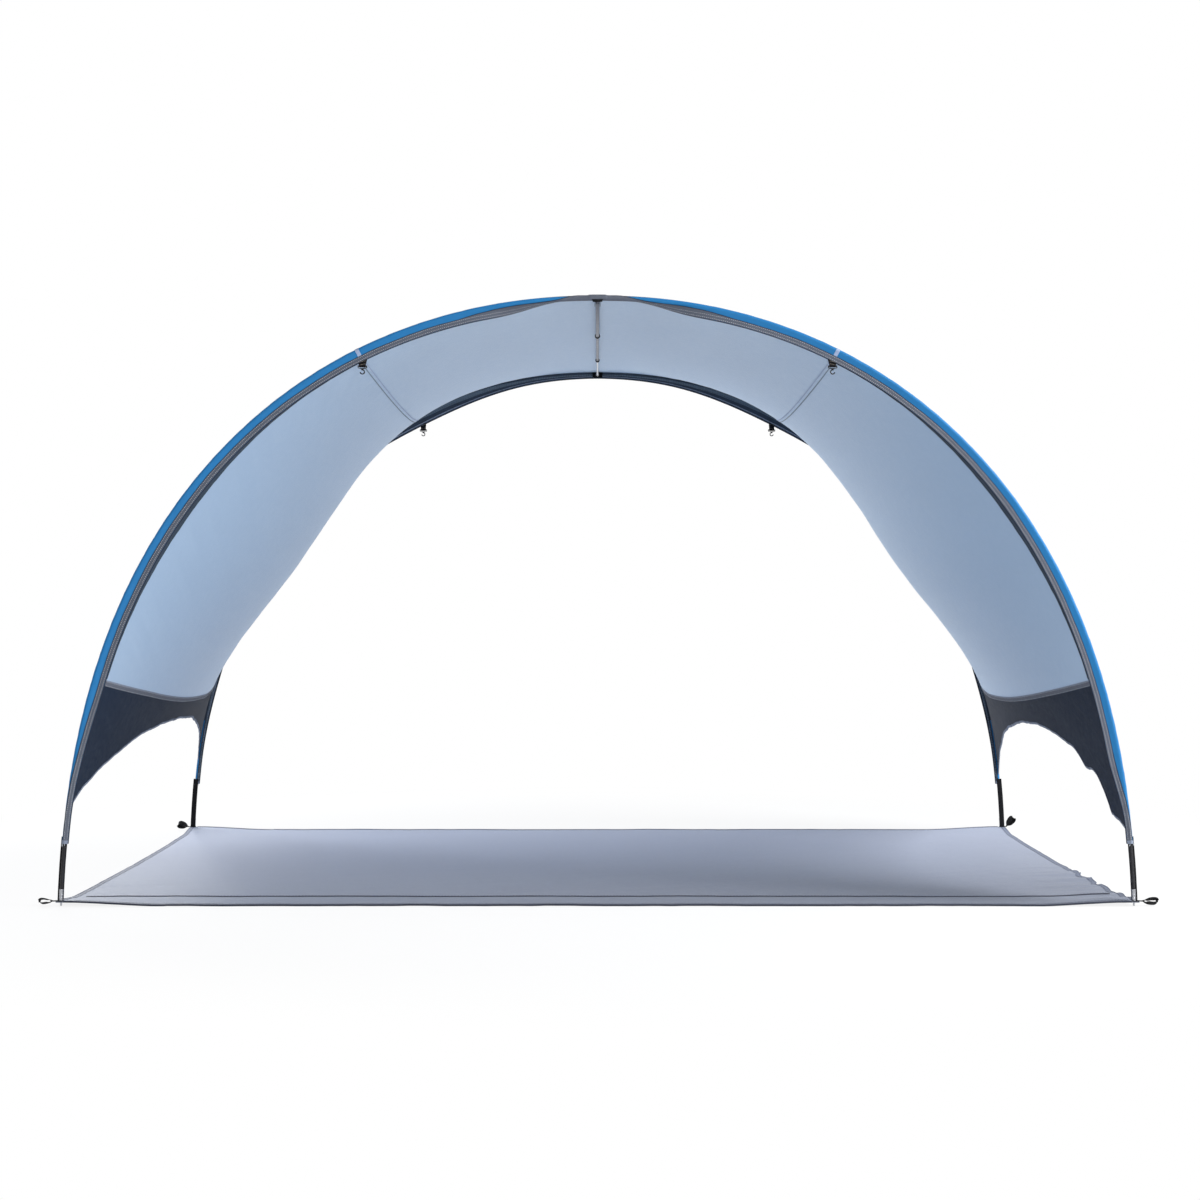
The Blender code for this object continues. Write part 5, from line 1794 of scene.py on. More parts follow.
@dataclass
class GroundSheet:
    """The floor cloth: waisted edges with sewn hems, a rolled front edge, a seam behind it,
    corners lifted to the eyelets and black corner patches.

    Attributes:
        form: The shelter's surfaces.
        finishes: The materials.
        thickness: Of the cloth.
        side_waist: How far the middle of a short edge is drawn in.
        end_waist: How far the middle of a long edge is drawn in.
        lift: How far the corners rise.
        lift_start: Share of the half width at which that begins.
        hem: Width of the side hems.
        front_hem: Width of the front hem.
        seam_inset: Distance of the cross seam from the front edge.
        seam_width: Width of the cross seam.
        margin: How far a hem stays inside the sheet's edge, as a share.
        hem_end: Share of the half size at which the hems end.
        seam_end: Share at which the cross seam ends.
        row_end: Share at which the stitches end.
        patch: Edge length of a corner patch.
        ripple: Height of the soft ripples.
        edge_wave: Height of the waves along the right edge.
        edge_sway: How far that edge wanders sideways.
        hem_sway: How far the front hem wanders.
    """

    form: TentForm
    finishes: Finishes
    thickness: float = 0.0010
    side_waist: float = 0.016
    end_waist: float = 0.004
    lift: float = 0.010
    lift_start: float = 0.8
    hem: float = 0.014
    front_hem: float = 0.034
    seam_inset: float = 0.165
    seam_width: float = 0.014
    margin: float = 0.0005
    hem_end: float = 0.985
    seam_end: float = 0.975
    row_end: float = 0.97
    patch: float = 0.042
    ripple: float = 0.0012
    edge_wave: float = 0.0035
    edge_sway: float = 0.0045
    hem_sway: float = 0.002
    half_x: float = field(init=False)
    half_y: float = field(init=False)
    full_lift_x: float = field(init=False)
    full_lift_y: float = field(init=False)

    def __post_init__(self) -> None:
        """Read the sheet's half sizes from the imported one."""
        _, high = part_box("ground_sheet")
        low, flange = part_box("eyelet_front_right")
        reach = (flange.x - low.x) / 2 + 0.0008 + high.x - (flange.x + low.x) / 2
        self.half_x, self.half_y = high.x, high.y
        self.full_lift_x, self.full_lift_y = 1 - reach / high.x, 1 - reach / high.y

    def lifted(self, share: Array, full: float) -> Array:
        """An S-curve of a share's size, from where the corners begin to rise to where they are up."""
        return smooth_step((np.abs(share) - self.lift_start) / (full - self.lift_start))

    def surface(self, u: Array, v: Array, above: Array | float = 0.0) -> Array:
        """The sheet's middle: x = u (X - a (1 - v^2)), y = v (Y - b (1 - u^2)), and z from the
        lift, which is the product of an S-curve in u and one in v, plus soft ripples that stay
        above the ground. The right edge and the front hem wander a little.

        Args:
            u: Shares of the half width, from -1 to 1.
            v: Shares of the half depth, from -1 to 1.
            above: How far above the cloth's middle the points lie.

        Returns:
            Points.
        """
        u, v = paired(u, v)
        x = u * (self.half_x - self.side_waist * (1 - v * v))
        y = v * (self.half_y - self.end_waist * (1 - u * u))
        rise = self.lifted(u, self.full_lift_x) * self.lifted(v, self.full_lift_y)
        z = self.thickness / 2 + self.lift * rise
        flat = 1 - smooth_step((np.maximum(np.abs(u), np.abs(v)) - 0.93) / 0.05) * (rise > 0)
        soft = self.ripple * (1 + waves(1.3 * x + 0.5 * y, 81, 0.62)) * (1 + waves(y - 0.4 * x, 82, 0.45)) / 2
        right = smooth_step((u - 0.86) / 0.12) * smooth_step((-v - 0.05) / 0.3)
        right = right * smooth_step((0.985 + v) / 0.06)
        edge = right * self.edge_wave * (1 + waves(y, 83, 0.16, 3))
        x = x + right * self.edge_sway * waves(y, 84, 0.15, 3)
        hem = smooth_step((-v - 0.80) / 0.05) * (1 - smooth_step((np.abs(u) - 0.95) / 0.04))
        y = y + hem * self.hem_sway * waves(x, 85, 0.42)
        calm = 1 - (smooth_step((np.abs(u) - self.full_lift_x + 0.02) / 0.02)
                    * smooth_step((np.abs(v) - self.full_lift_y + 0.02) / 0.02))
        return placed(x, y, z + (soft * flat + edge) * calm + above)

    def band(self, name: str, u: tuple[float, float], v: tuple[float, float], cells: tuple[int, int],
             above: float, thickness: float, finish: Material) -> None:
        """A strip of cloth on the sheet between two shares each way, as a thin closed sheet.

        Args:
            name: Name of the piece.
            u: Its first and last share of the half width.
            v: Its first and last share of the half depth.
            cells: Cells each way.
            above: How far its middle lies above the sheet's face.
            thickness: Of the strip.
            finish: Its material.
        """
        grid_u, grid_v = np.linspace(*u, cells[0] + 1)[:, None], np.linspace(*v, cells[1] + 1)[None, :]
        patches = thin_cloth(self.surface(grid_u, grid_v, self.thickness / 2 + above), thickness)
        build_piece(name, patches, [finish])

    def row(self, u: tuple[float, float], v: tuple[float, float], above: float) -> tuple[Array, Array]:
        """A line of stitches on the sheet between two shares each way, with upward normals."""
        share = np.linspace(0, 1, 400)
        path = self.surface(u[0] + (u[1] - u[0]) * share, v[0] + (v[1] - v[0]) * share,
                            self.thickness / 2 + above)
        return path, all_along(UPWARD, path)

    def build(self) -> None:
        """Build the sheet, its hems, seam, rolled edge, stitches and corner patches."""
        finishes = self.finishes
        middle = self.surface(np.linspace(-1, 1, 241)[:, None], np.linspace(-1, 1, 161)[None, :])
        made = build_piece("ground_sheet_cloth", thin_cloth(middle, self.thickness), [finishes.floor],
                           replaces=["ground_sheet"])
        hem_u, hem_v, front_v = self.hem / self.half_x, self.hem / self.half_y, self.front_hem / self.half_y
        seam, rim = -1 + self.seam_inset / self.half_y, 1 - self.margin
        whole, across = (-self.hem_end, self.hem_end), (-self.seam_end, self.seam_end)
        hems = (("floor_left_hem", (-rim, hem_u - 1), whole, (5, 220)),
                ("floor_right_hem", (1 - hem_u, rim), whole, (5, 220)),
                ("floor_rear_hem", whole, (1 - hem_v, rim), (220, 5)),
                ("floor_front_hem", whole, (-rim, front_v - 1), (220, 8)))
        for name, u, v, cells in hems:
            self.band(name, u, v, cells, 0.0004, 0.0006, finishes.floor_hem)
        self.band("floor_cross_seam", across, (seam, seam + self.seam_width), (260, 6), 0.0006, 0.0009,
                  finishes.floor_hem)
        # Painted shade: a dark strip along the cross seam's fold.
        self.band("floor_cross_fold", across, (seam - 0.003, seam + 0.002), (260, 2), MM, MM,
                  finishes.floor_edge)
        self.build_rolls()
        long, side_row = (-self.row_end, self.row_end), 1 - 0.85 * hem_u
        rows = [self.row((way * side_row, way * side_row), long, 0.0008) for way in (-1, 1)]
        rows += [self.row(long, (at, at), 0.0008)
                 for at in (1 - 0.85 * hem_v, -1 + 0.9 * front_v, -1 + 0.25 * front_v)]
        rows += [self.row(long, (seam + part, seam + part), 0.0012) for part in (0.004, 0.0115)]
        build_stitches("floor_stitches", rows, finishes.dark_thread, 0.0085, 0.0055, 0.0010)
        for corner in CORNERS:
            self.build_patch(corner)

    def build_rolls(self) -> None:
        """A rolled edging along each edge: the edge's line with r (cos a, sin a) round it,
        thicker and darker at the front."""
        share, finishes = np.linspace(-self.hem_end, self.hem_end, 300), self.finishes
        lines = (("front", share, -1.0, 0.0024, finishes.floor_edge),
                 ("rear", share, 1.0, 0.0012, finishes.floor_edge),
                 ("left", -1.0, share, 0.0013, finishes.floor_hem),
                 ("right", 1.0, share, 0.0013, finishes.floor_hem))
        for word, u, v, radius, finish in lines:
            path = self.surface(u, v, radius * 0.55 + 0.0002)
            along = unit(np.gradient(path, axis=0))
            across = unit(np.cross(along, UPWARD))
            above = np.cross(across, along)
            path[:, 2] = np.maximum(path[:, 2], radius)
            rings = swept(path, across, above, circle(radius, 12))
            build_piece(f"floor_{word}_edging", capped_rings(rings), [finish])

    def build_patch(self, corner: str) -> None:
        """A black triangle of webbing sewn under the eyelet: corner + s (edge way) + t (other
        edge way), with s and t summing to one along its long side.

        Args:
            corner: Name of the corner.
        """
        hoop, side = CORNERS[corner]
        s, t = np.linspace(0.01, 1, 13)[:, None], np.linspace(0, 1, 13)[None, :]
        u = side.value * (1 - self.patch / self.half_x * (0.03 + s * t))
        v = hoop.value * (1 - self.patch / self.half_y * (0.03 + s * (1 - t)))
        grid = self.surface(u, v, -self.thickness / 2 - 0.0004)
        build_piece(f"corner_patch_{corner}", thin_cloth(grid, 0.0007), [self.finishes.webbing])


def linked(name: str, data: bpy.types.ID) -> bpy.types.Object:
    """A new object with this data, in the scene."""
    made = bpy.data.objects.new(name, data)
    bpy.context.scene.collection.objects.link(made)
    return made


def changed_mesh(source: bpy.types.Object) -> bpy.types.Mesh:
    """The mesh of an object with its modifiers carried out."""
    bpy.context.view_layer.update()
    return bpy.data.meshes.new_from_object(source.evaluated_get(bpy.context.evaluated_depsgraph_get()))


def ring_mesh(name: str, rings: Array, both_ends: bool) -> bpy.types.Mesh:
    """A mesh from rings of points.

    Args:
        name: Name of the mesh.
        rings: Rings by points by three.
        both_ends: Whether the last ring is closed by a face too, like the first.

    Returns:
        The mesh.
    """
    count, sides = rings.shape[:2]
    index = np.arange(count * sides).reshape(count, sides)
    onward = np.roll(index, -1, axis=1)
    quads = np.stack([index[:-1], onward[:-1], onward[1:], index[1:]], axis=-1).reshape(-1, 4)
    ends = [index[0, ::-1].tolist()] + ([index[-1].tolist()] if both_ends else [])
    mesh = bpy.data.meshes.new(name)
    mesh.from_pydata(rings.reshape(-1, 3).tolist(), [], quads.tolist() + ends)
    return mesh


def refined(node: str, name: str, finishes: Sequence[Material], body: str,
            voxel: float, rounds: int) -> bpy.types.Object:
    """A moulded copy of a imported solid: its loose triangles merged, remeshed finely and
    smoothed, so that each edge gets a small radius.

    Args:
        node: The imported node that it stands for.
        name: Name of the piece.
        finishes: Its materials.
        body: The body that it rides on.
        voxel: Size of the remesh's cells.
        rounds: How often it is smoothed.

    Returns:
        The finished object.
    """
    work = bmesh.new()
    work.from_mesh(frame["nodes"][node].data)
    bmesh.ops.remove_doubles(work, verts=work.verts, dist=MERGE * 10)
    mesh = bpy.data.meshes.new(name)
    work.to_mesh(mesh)
    work.free()
    mesh.materials.clear()
    source = linked(name + "_source", mesh)
    remesh = source.modifiers.new("cells", "REMESH")
    remesh.mode, remesh.voxel_size = "VOXEL", voxel
    smooth = source.modifiers.new("rounding", "SMOOTH")
    smooth.factor, smooth.iterations = 0.5, rounds
    made = changed_mesh(source)
    made.name = name
    made.materials.clear()
    bpy.data.objects.remove(source)
    return dress(name, made, finishes, body=body, replaces=[node])


def joint_named(name: str) -> dict:
    """The record's joint with a name."""
    return next(joint for joint in frame["joints"] if joint["name"] == name)


LOOP_TWIST = {"front_left": -20, "front_right": -32, "rear_left": 40, "rear_right": 35}
LOOP_SHARE = {"front_left": 0.76, "front_right": 0.84, "rear_left": 0.74, "rear_right": 0.8}


@dataclass
class Webbing:
    """The straps at the feet, the stake loops, and the tabs with the moulded side hooks.

    Attributes:
        form: The shelter's surfaces.
        finishes: The materials.
        width: Width of a leg strap.
        thickness: Thickness of the webbing.
        bend: Radius over which a strap is bent under the pole.
        foot_reach: How far its foot reaches beyond the pole's plane.
        hole: Radius of the hole for the eyelet.
        loop_length: Length of a stake loop.
        loop_width: Its width past the neck.
        neck_width: Its gathered width.
        loop_start: Distance of a loop's webbing from its hinge.
        bar_grip: Radius of a tab's fold round the hook's bar.
    """

    form: TentForm
    finishes: Finishes
    width: float = 0.016
    thickness: float = 0.0012
    bend: float = 0.003
    foot_reach: float = 0.0088
    hole: float = 0.0043
    loop_length: float = 0.050
    loop_width: float = 0.020
    neck_width: float = 0.009
    loop_start: float = 0.0004
    bar_grip: float = 0.00302

    def build_strap(self, corner: str) -> None:
        """A strap from the sleeve's end down beside the pole, bent under it, with the eyelet's
        hole cut through its foot and rows of stitches where it is sewn.

        Args:
            corner: Name of the corner.
        """
        hoop, side = CORNERS[corner]
        line, node, bend = self.form.line, "leg_strap_" + corner, self.bend
        low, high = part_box(node)
        eye_low, eye_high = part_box("eyelet_" + corner)
        centre = np.array(((eye_low.x + eye_high.x) / 2, (eye_low.y + eye_high.y) / 2))
        depth, foot = self.form.sleeve_radius + self.form.gap + self.thickness / 2, low.z + self.thickness / 2
        heights = np.linspace(high.z, foot + bend, 40)
        lean = np.abs(line.at(line.height_at(heights))[0][:, 0]) + 0.003
        drift = waves(heights, 91 + list(CORNERS).index(corner), 0.12)
        sway = 0.0006 * drift * np.sin(np.pi * (heights - foot) / (high.z - foot))
        down = placed(side.value * lean, hoop.value * (line.half_depth - depth) + sway, heights)
        turn = np.linspace(0, np.pi / 2, 9)[1:]
        inward = depth - bend + bend * np.cos(turn)
        fold = placed(down[-1, 0], hoop.value * (line.half_depth - inward), foot + bend - bend * np.sin(turn))
        under = np.linspace(inward[-1], -self.foot_reach, 10)[1:]
        path = np.concatenate([down, fold, placed(down[-1, 0], hoop.value * (line.half_depth - under), foot)])
        along = unit(np.gradient(path, axis=0))
        across = square_to(all_along(ACROSS, path), along)
        above = np.cross(across, along)
        rings = swept(path, across, above, strap_profile(self.width, self.thickness))
        made = build_piece(node + "_webbing", capped_rings(rings), [self.finishes.webbing], replaces=[node])
        cut_with(made, turned([(0.0, self.hole), (0.006, self.hole)], (*centre, foot - 0.003), UPWARD, 32))
        sewn = []
        for place in (4, 1):
            seam = np.linspace(-1, 1, 30)[:, None] * across[0] * self.width * 0.42
            spot = down[place] + above[0] * (self.thickness / 2 + MM / 10) + seam
            sewn.append((spot, all_along(above[0], spot)))
            sewn.append((spot - above[0] * (self.thickness + MM / 5), all_along(-above[0], spot)))
        build_stitches(f"strap_stitches_{corner}", sewn, self.finishes.dark_thread, 0.0022, 0.0016, 0.0006)
        build_piece(f"strap_lug_{corner}", self.lug(centre, foot, hoop, side), [self.finishes.webbing])

    def lug(self, centre: Array, foot: float, hoop: Hoop, side: Side) -> list[Patch]:
        """The strap's tongue towards the stake loop: a flat strip out from the strap's edge.

        Args:
            centre: X and Y of the eyelet.
            foot: Height of the strap's middle under the pole.
            hoop: Which hoop.
            side: Which side.

        Returns:
            The patches of the strip.
        """
        reach = side.value * np.linspace(0.0095, 0.0152, 5)
        path = placed(centre[0] + reach, centre[1] + hoop.value * 0.0022, foot + self.thickness / 2)
        profile = strap_profile(0.012, self.thickness * 2)
        return capped_rings(swept(path, all_along(REARWARD, path), all_along(UPWARD, path), profile))

    def loop_height(self, reach: Array, length: float) -> Array:
        """Half the height of a stake loop's middle line: an S-curve up to 3.2 mm past the neck,
        another 2 mm towards the end, closed over the last 8 mm as sqrt(1 - t^2).

        Args:
            reach: Distances from the hinge.
            length: Length of the loop.

        Returns:
            Heights.
        """
        opened = 0.0032 * smooth_step((reach - 0.003) / 0.012) + 0.0020 * smooth_step((reach - 0.014) / 0.016)
        end = np.clip((reach - (length - 0.008)) / 0.0079, 0, 1)
        return self.thickness / 2 + opened * np.sqrt(1 - end ** 2)

    def build_loop(self, corner: str) -> None:
        """A stake loop of two layers of webbing: out along the upper layer, round the end and
        back along the lower one, gathered at its neck round a rolled core.

        Args:
            corner: Name of the corner.
        """
        _, side = CORNERS[corner]
        node, body, start = "stake_loop_" + corner, "loop_" + corner, self.loop_start
        pivot, lean = self.loop_axis(corner)
        along = np.array((side.value * math.cos(lean), 0, math.sin(lean)))
        above = np.array((-side.value * math.sin(lean), 0, math.cos(lean)))
        length = self.loop_length * LOOP_SHARE[corner]
        reach = start + (length - self.thickness / 2 - start) * np.sin(np.linspace(0, np.pi / 2, 60))
        height = self.loop_height(reach, length)
        height[-1] = 0.0
        both = np.concatenate([reach, reach[-2::-1]])
        level = np.concatenate([height, -height[-2::-1]])
        path = pivot + both[:, None] * along + level[:, None] * above
        tangent = unit(np.gradient(path, axis=0))
        roll = math.radians(LOOP_TWIST[corner]) * smooth_step((both - 0.002) / 0.020)[:, None]
        across = square_to(np.cos(roll) * REARWARD + np.sin(roll) * above, tangent)
        flare = smooth_step((both - 0.002) / 0.014)
        width = self.neck_width + (self.loop_width - self.neck_width) * flare
        rings = swept(path, across, np.cross(tangent, across), self.profiles(width))
        build_piece(node + "_webbing", capped_rings(rings), [self.finishes.webbing], body=body,
                    replaces=[node])
        core = [(-0.0016, 0.0005), (-0.0010, 0.0008), (0.0040, 0.0013), (0.0092, 0.0024), (0.0098, 0.0020)]
        build_piece(f"loop_neck_{corner}", capped_rings(turned(core, pivot, along, 20)),
                    [self.finishes.webbing], body=body)

    def loop_axis(self, corner: str) -> tuple[Array, float]:
        """A stake loop's hinge, and how far the loop is raised, from the record's joint."""
        joint = joint_named("loop_fold_" + corner)
        return np.array(joint["pos_m"], dtype=float), math.radians(90 - joint["range_deg"][1])

    def profiles(self, widths: Array) -> Array:
        """The webbing's outline for each of a row of widths, a little thinner than the strap's."""
        return np.stack([strap_profile(width, self.thickness * 0.96) for width in widths])

    def build_tab(self, corner: str) -> None:
        """A folded tab: webbing down from the sleeve, round the hook's bar and up again, wider
        at its top, with pale bars of stitches above the fold, whose beige also paints the highlight along the
        hook's bar.

        Args:
            corner: Name of the corner.
        """
        hoop, side = CORNERS[corner]
        node, radius, layer = "hook_tab_" + corner, self.bar_grip, self.thickness
        _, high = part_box(node)
        pivot = np.array(joint_named("hook_swing_" + corner)["pos_m"], dtype=float)
        rise = high.z - pivot[2] + (0.010 if hoop is Hoop.REAR else MM)
        touch = math.acos(layer / 2 / radius)
        turn = np.linspace(touch, -math.pi - touch, 30)
        round_bar = radius * np.stack([np.cos(turn), np.sin(turn)], axis=-1)
        heights = np.linspace(rise, round_bar[0, 1], 15)[:-1]
        down = np.stack([np.full(14, layer * 0.52), heights], axis=-1)
        flat = np.concatenate([down, round_bar, down[::-1] * (-1, 1)])
        path = pivot + placed(0.0, flat[:, 0], flat[:, 1])
        climb = smooth_step(np.maximum(flat[:, 1], 0) / rise)
        across = placed(1.0, 0.0, -side.value * 0.42 * climb)
        off = unit(np.cross(unit(np.gradient(path, axis=0)), ACROSS))
        width = 0.017 + (0.010 if hoop is Hoop.FRONT else 0.003) * climb
        build_piece(node + "_webbing", capped_rings(swept(path, across, off, self.profiles(width))),
                    [self.finishes.webbing], replaces=[node])
        # Partly painted highlight: the beige stitches just above the bar also stand for the light line along the
        # hook's bar.
        at, bars = np.linspace(-0.0082, 0.0082, 40), []
        for height in (radius + 0.0012, rise * 0.62):
            for way in (-1, 1):
                bar = pivot + placed(at, way * (layer * 1.02 + MM / 10), height - at * side.value * 0.2)
                bars.append((bar, all_along(way * REARWARD, bar)))
        build_stitches(f"tab_stitches_{corner}", bars, self.finishes.bar_stitch, 0.0013, 0.0014, 0.0011)

    def build(self) -> None:
        """Build the webbing and the hooks at all four corners."""
        for corner in CORNERS:
            self.build_strap(corner)
            self.build_loop(corner)
            self.build_tab(corner)
            refined("side_hook_" + corner, f"side_hook_{corner}_moulded", [self.finishes.plastic],
                    "hook_" + corner, 0.00028, 6)


def cut_with(made: bpy.types.Object, rings: Array) -> None:
    """Cut a closed shape, given by its rings, out of a piece, and keep the result as its mesh."""
    cutter = linked("cutter", ring_mesh("cutter", rings, True))
    change = made.modifiers.new("hole", "BOOLEAN")
    change.object, change.operation, change.solver = cutter, "DIFFERENCE", "EXACT"
    made.data = changed_mesh(made)
    made.modifiers.clear()
    bpy.data.objects.remove(cutter)


@dataclass
class RidgePole:
    """The telescopic pole under the roof: three tubes, two collars, the tip, and the pockets on
    both hoops that hold it.

    Attributes:
        finishes: The materials.
        roll: Radius of the tubes' rolled ends.
        rim: How far a collar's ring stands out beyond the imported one.
        wrap: Radius of a pocket's band round the sleeve.
        thick: Thickness of its webbing.
        width: Width of the band at its top.
        wall: Thickness of the cheeks and the hood.
        reach: Where those begin and end, from the hoop's plane.
        cheek: The cheeks' lower and upper edges, from the pole's axis.
        height: Height of the pole's axis.
    """

    finishes: Finishes
    roll: float = 0.0004
    rim: float = 0.0016
    wrap: float = 0.00765
    thick: float = 0.0013
    width: float = 0.0355
    wall: float = 0.0011
    reach: tuple[float, float] = (0.0092, 0.0336)
    cheek: tuple[float, float] = (-0.0092, 0.0056)
    height: float = field(init=False)

    def __post_init__(self) -> None:
        """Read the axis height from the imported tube."""
        low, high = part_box("ridge_tube_outer")
        self.height = (low.z + high.z) / 2

    @staticmethod
    def sizes(node: str) -> tuple[float, float, float]:
        """Front end, rear end and radius of a packed round piece on the pole's axis."""
        low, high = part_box(node)
        return low.y, high.y, (high.x - low.x) / 2

    def turned_piece(self, name: str, profile: Outline, finish: Material, body: str,
                     nodes: Sequence[str] = ()) -> None:
        """One turned piece on the pole's axis, whose profile closes on itself or on the axis."""
        rings = turned(profile, (0, 0, self.height), REARWARD, 40)
        build_piece(name, [Patch(rings, wrap=True)], [finish], 35.0, body, nodes)

    def build_tube(self, node: str, body: str, bore: float, finish: Material, domed: bool) -> None:
        """A tube with rolled ends, closed at its front by a flat dome where it sits in a pocket.

        Args:
            node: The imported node.
            body: The body that it rides on.
            bore: Radius of its bore.
            finish: Its material.
            domed: Whether its front end is closed.
        """
        start, end, radius = self.sizes(node)
        roll, floor = self.roll, start + 0.004
        outer = [(end - roll, radius), (end, radius - roll), (end, bore)]
        if domed:
            profile = [(start, TINY), (start, 0.0015), (start + 0.0006, radius - 0.0012),
                       (start + 0.0028, radius), *outer, (floor + MM, bore), (floor, bore * 0.6),
                       (floor, TINY)]
        else:
            profile = [(start, bore), (start, radius - roll), (start + roll, radius), *outer, (start, bore)]
        self.turned_piece(node + "_metal", profile, finish, body, [node])

    def build_collar(self, node: str, body: str, tube: str) -> None:
        """A collar: a black ring and a white nut with a grooved edge, over the tube's end.

        Args:
            node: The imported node.
            body: The body that it rides on.
            tube: The thinner tube that slides in it.
        """
        start, end, radius = self.sizes(node)
        inner, lip, rim = radius - 0.0011, self.sizes(tube)[2] + 0.0003, radius + self.rim
        split, step = start + (end - start) * 0.56, start + 0.0104
        face, edge = split + MM / 10, radius - MM / 10
        black = [(start, inner), (start, rim - 0.0004), (start + 0.0005, rim), (split - 0.0005, rim),
                 (split, rim - 0.0004), (split, inner), (start, inner)]
        nut = [(face, inner), (face, radius - 0.0006), (split + 0.0006, edge)]
        for groove in range(4):
            at = split + 0.0012 + groove * 0.0009
            nut += [(at, edge), (at + 0.0003, radius - 0.0004), (at + 0.0006, edge)]
        nut += [(end - 0.0007, radius - 0.0003), (end, radius - 0.0012), (end, lip), (step, lip),
                (step, inner), (face, inner)]
        self.turned_piece(node + "_ring", black, self.finishes.plastic, body, [node])
        self.turned_piece(node + "_nut", nut, self.finishes.nut, body)

    def build_tip(self) -> None:
        """The inner tube's tip: a sleeve over the tube's end with a groove and a dome."""
        start, end, radius = self.sizes("ridge_tip")
        _, tube_end, tube_radius = self.sizes("ridge_tube_inner")
        bore, groove = tube_radius + 0.00005, radius - 0.0007
        profile = [(start, bore), (start, radius - 0.0009), (start + 0.0012, radius), (start + 0.006, radius),
                   (start + 0.0068, groove), (start + 0.0082, groove), (start + 0.009, radius)]
        dome = min(end - tube_end, 0.0048)
        profile += [(end - dome + dome * math.sin(a), max(radius * math.cos(a), TINY))
                    for a in np.linspace(0, np.pi / 2, 8)]
        inside = min(tube_end + MM / 10, end - 0.0006)
        profile += [(inside, TINY), (inside, bore), (start, bore)]
        self.turned_piece("ridge_tip_turned", profile, self.finishes.bright, "ridge_inner", ["ridge_tip"])

    def build_pocket(self, hoop: Hoop) -> None:
        """A pocket at the apex: webbing folded over the sleeve, narrower towards its bottom. In
        front two cheeks of webbing stand behind it, and at the rear a hood of webbing that is
        open towards the pole and below.

        Args:
            hoop: Front or rear.
        """
        node, front = "ridge_pocket_" + hoop.name.lower(), hoop is Hoop.FRONT
        _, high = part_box(node)
        way, plane = -hoop.value, hoop.value * HOOP_PLANE
        centre = np.array((0.0, plane, high.z - 0.0083))
        turn = np.radians(np.concatenate([np.linspace(200, 90, 14), np.linspace(90, -15, 13)[1:]]))
        loop = placed(0.0, way * self.wrap * np.cos(turn), self.wrap * np.sin(turn))
        start = loop[0] - UPWARD * np.linspace(0.0085, 0.0, 6)[:-1, None]
        drop = np.linspace(MM, 0.0046 if front else 0.0125, 5)
        path = centre + np.concatenate([start, loop, loop[-1] + placed(0.0, way * 0.0002, -drop)])
        narrow = (0.0125 if front else 0.003) * smooth_step(np.abs(path[:, 2] - high.z) / 0.0225)
        across = all_along(ACROSS, path)
        above = np.cross(unit(np.gradient(path, axis=0)), across)
        profiles = np.stack([strap_profile(width, self.thick) for width in self.width - narrow])
        build_piece(node + "_band", capped_rings(swept(path, across, above, profiles)),
                    [self.finishes.webbing], replaces=[node])
        depth = plane + way * np.linspace(*self.reach, 9)
        if front:
            self.build_cover(centre)
            panels = [patch for side in Side for patch in self.extruded(self.cheek_line(side), depth)]
            build_piece(node + "_cheeks", panels, [self.finishes.webbing])
        else:
            build_piece(node + "_hood", self.extruded(self.hood_line(), depth), [self.finishes.webbing])
        face = plane + hoop.value * (self.wrap + self.thick / 2 + MM / 10)
        rows = [placed(np.linspace(-half, half, 40), face, high.z - 0.0060 - below)
                for below, half in ((0.0035, 0.0150), (0.0125, 0.0118))]
        build_stitches(node + "_stitches", [(row, all_along(hoop.value * REARWARD, row)) for row in rows],
                       self.finishes.dark_thread, 0.0030, 0.0020, 0.0007)

    def extruded(self, outline: Array, depth: Array) -> list[Patch]:
        """A wall of webbing whose outline, in X and Z round the pole's axis, is carried along Y."""
        return thin_cloth(np.stack([placed(outline[:, 0], y, self.height + outline[:, 1]) for y in depth]),
                          self.wall)

    def cheek_line(self, side: Side) -> Array:
        """A cheek's outline: upright, and bowed a little towards the pole."""
        level = np.linspace(*self.cheek, 7)
        bow = np.sin(np.pi * (level - self.cheek[0]) / (self.cheek[1] - self.cheek[0]))
        return np.stack([side.value * (0.0068 - 0.0004 * bow), level], axis=-1)

    @staticmethod
    def hood_line() -> Array:
        """The hood's outline: more than half a circle, with a straight leg down at both ends."""
        turn = np.radians(np.linspace(-42, 222, 25))
        section = 0.0058 * np.stack([np.cos(turn), np.sin(turn)], axis=-1)
        legs = np.linspace(0, 0.0040, 5)[1:, None] * np.array((0.0, -1.0))
        return np.concatenate([(section[0] + legs)[::-1], section, section[-1] + legs])

    def build_cover(self, centre: Array) -> None:
        """The grey tape that is sewn over the front pocket's top, from the front of the tube
        over its crown to the inner side.

        Args:
            centre: The tube's centre at the apex.
        """
        turn = np.radians(np.linspace(206, -8, 36))[None, :]
        across = np.linspace(-0.030, 0.030, 25)[:, None]
        radius = 0.0086 - 0.0019 * smooth_step((np.abs(across) - 0.019) / 0.009)
        sink = across ** 2 / 2.4
        grid = centre + placed(across, radius * np.cos(turn), radius * np.sin(turn) - sink)
        spoke = placed(0 * across, np.cos(turn), np.sin(turn))
        build_piece("ridge_pocket_cover", thin_cloth(grid, 0.0005, spoke), [self.finishes.binding])

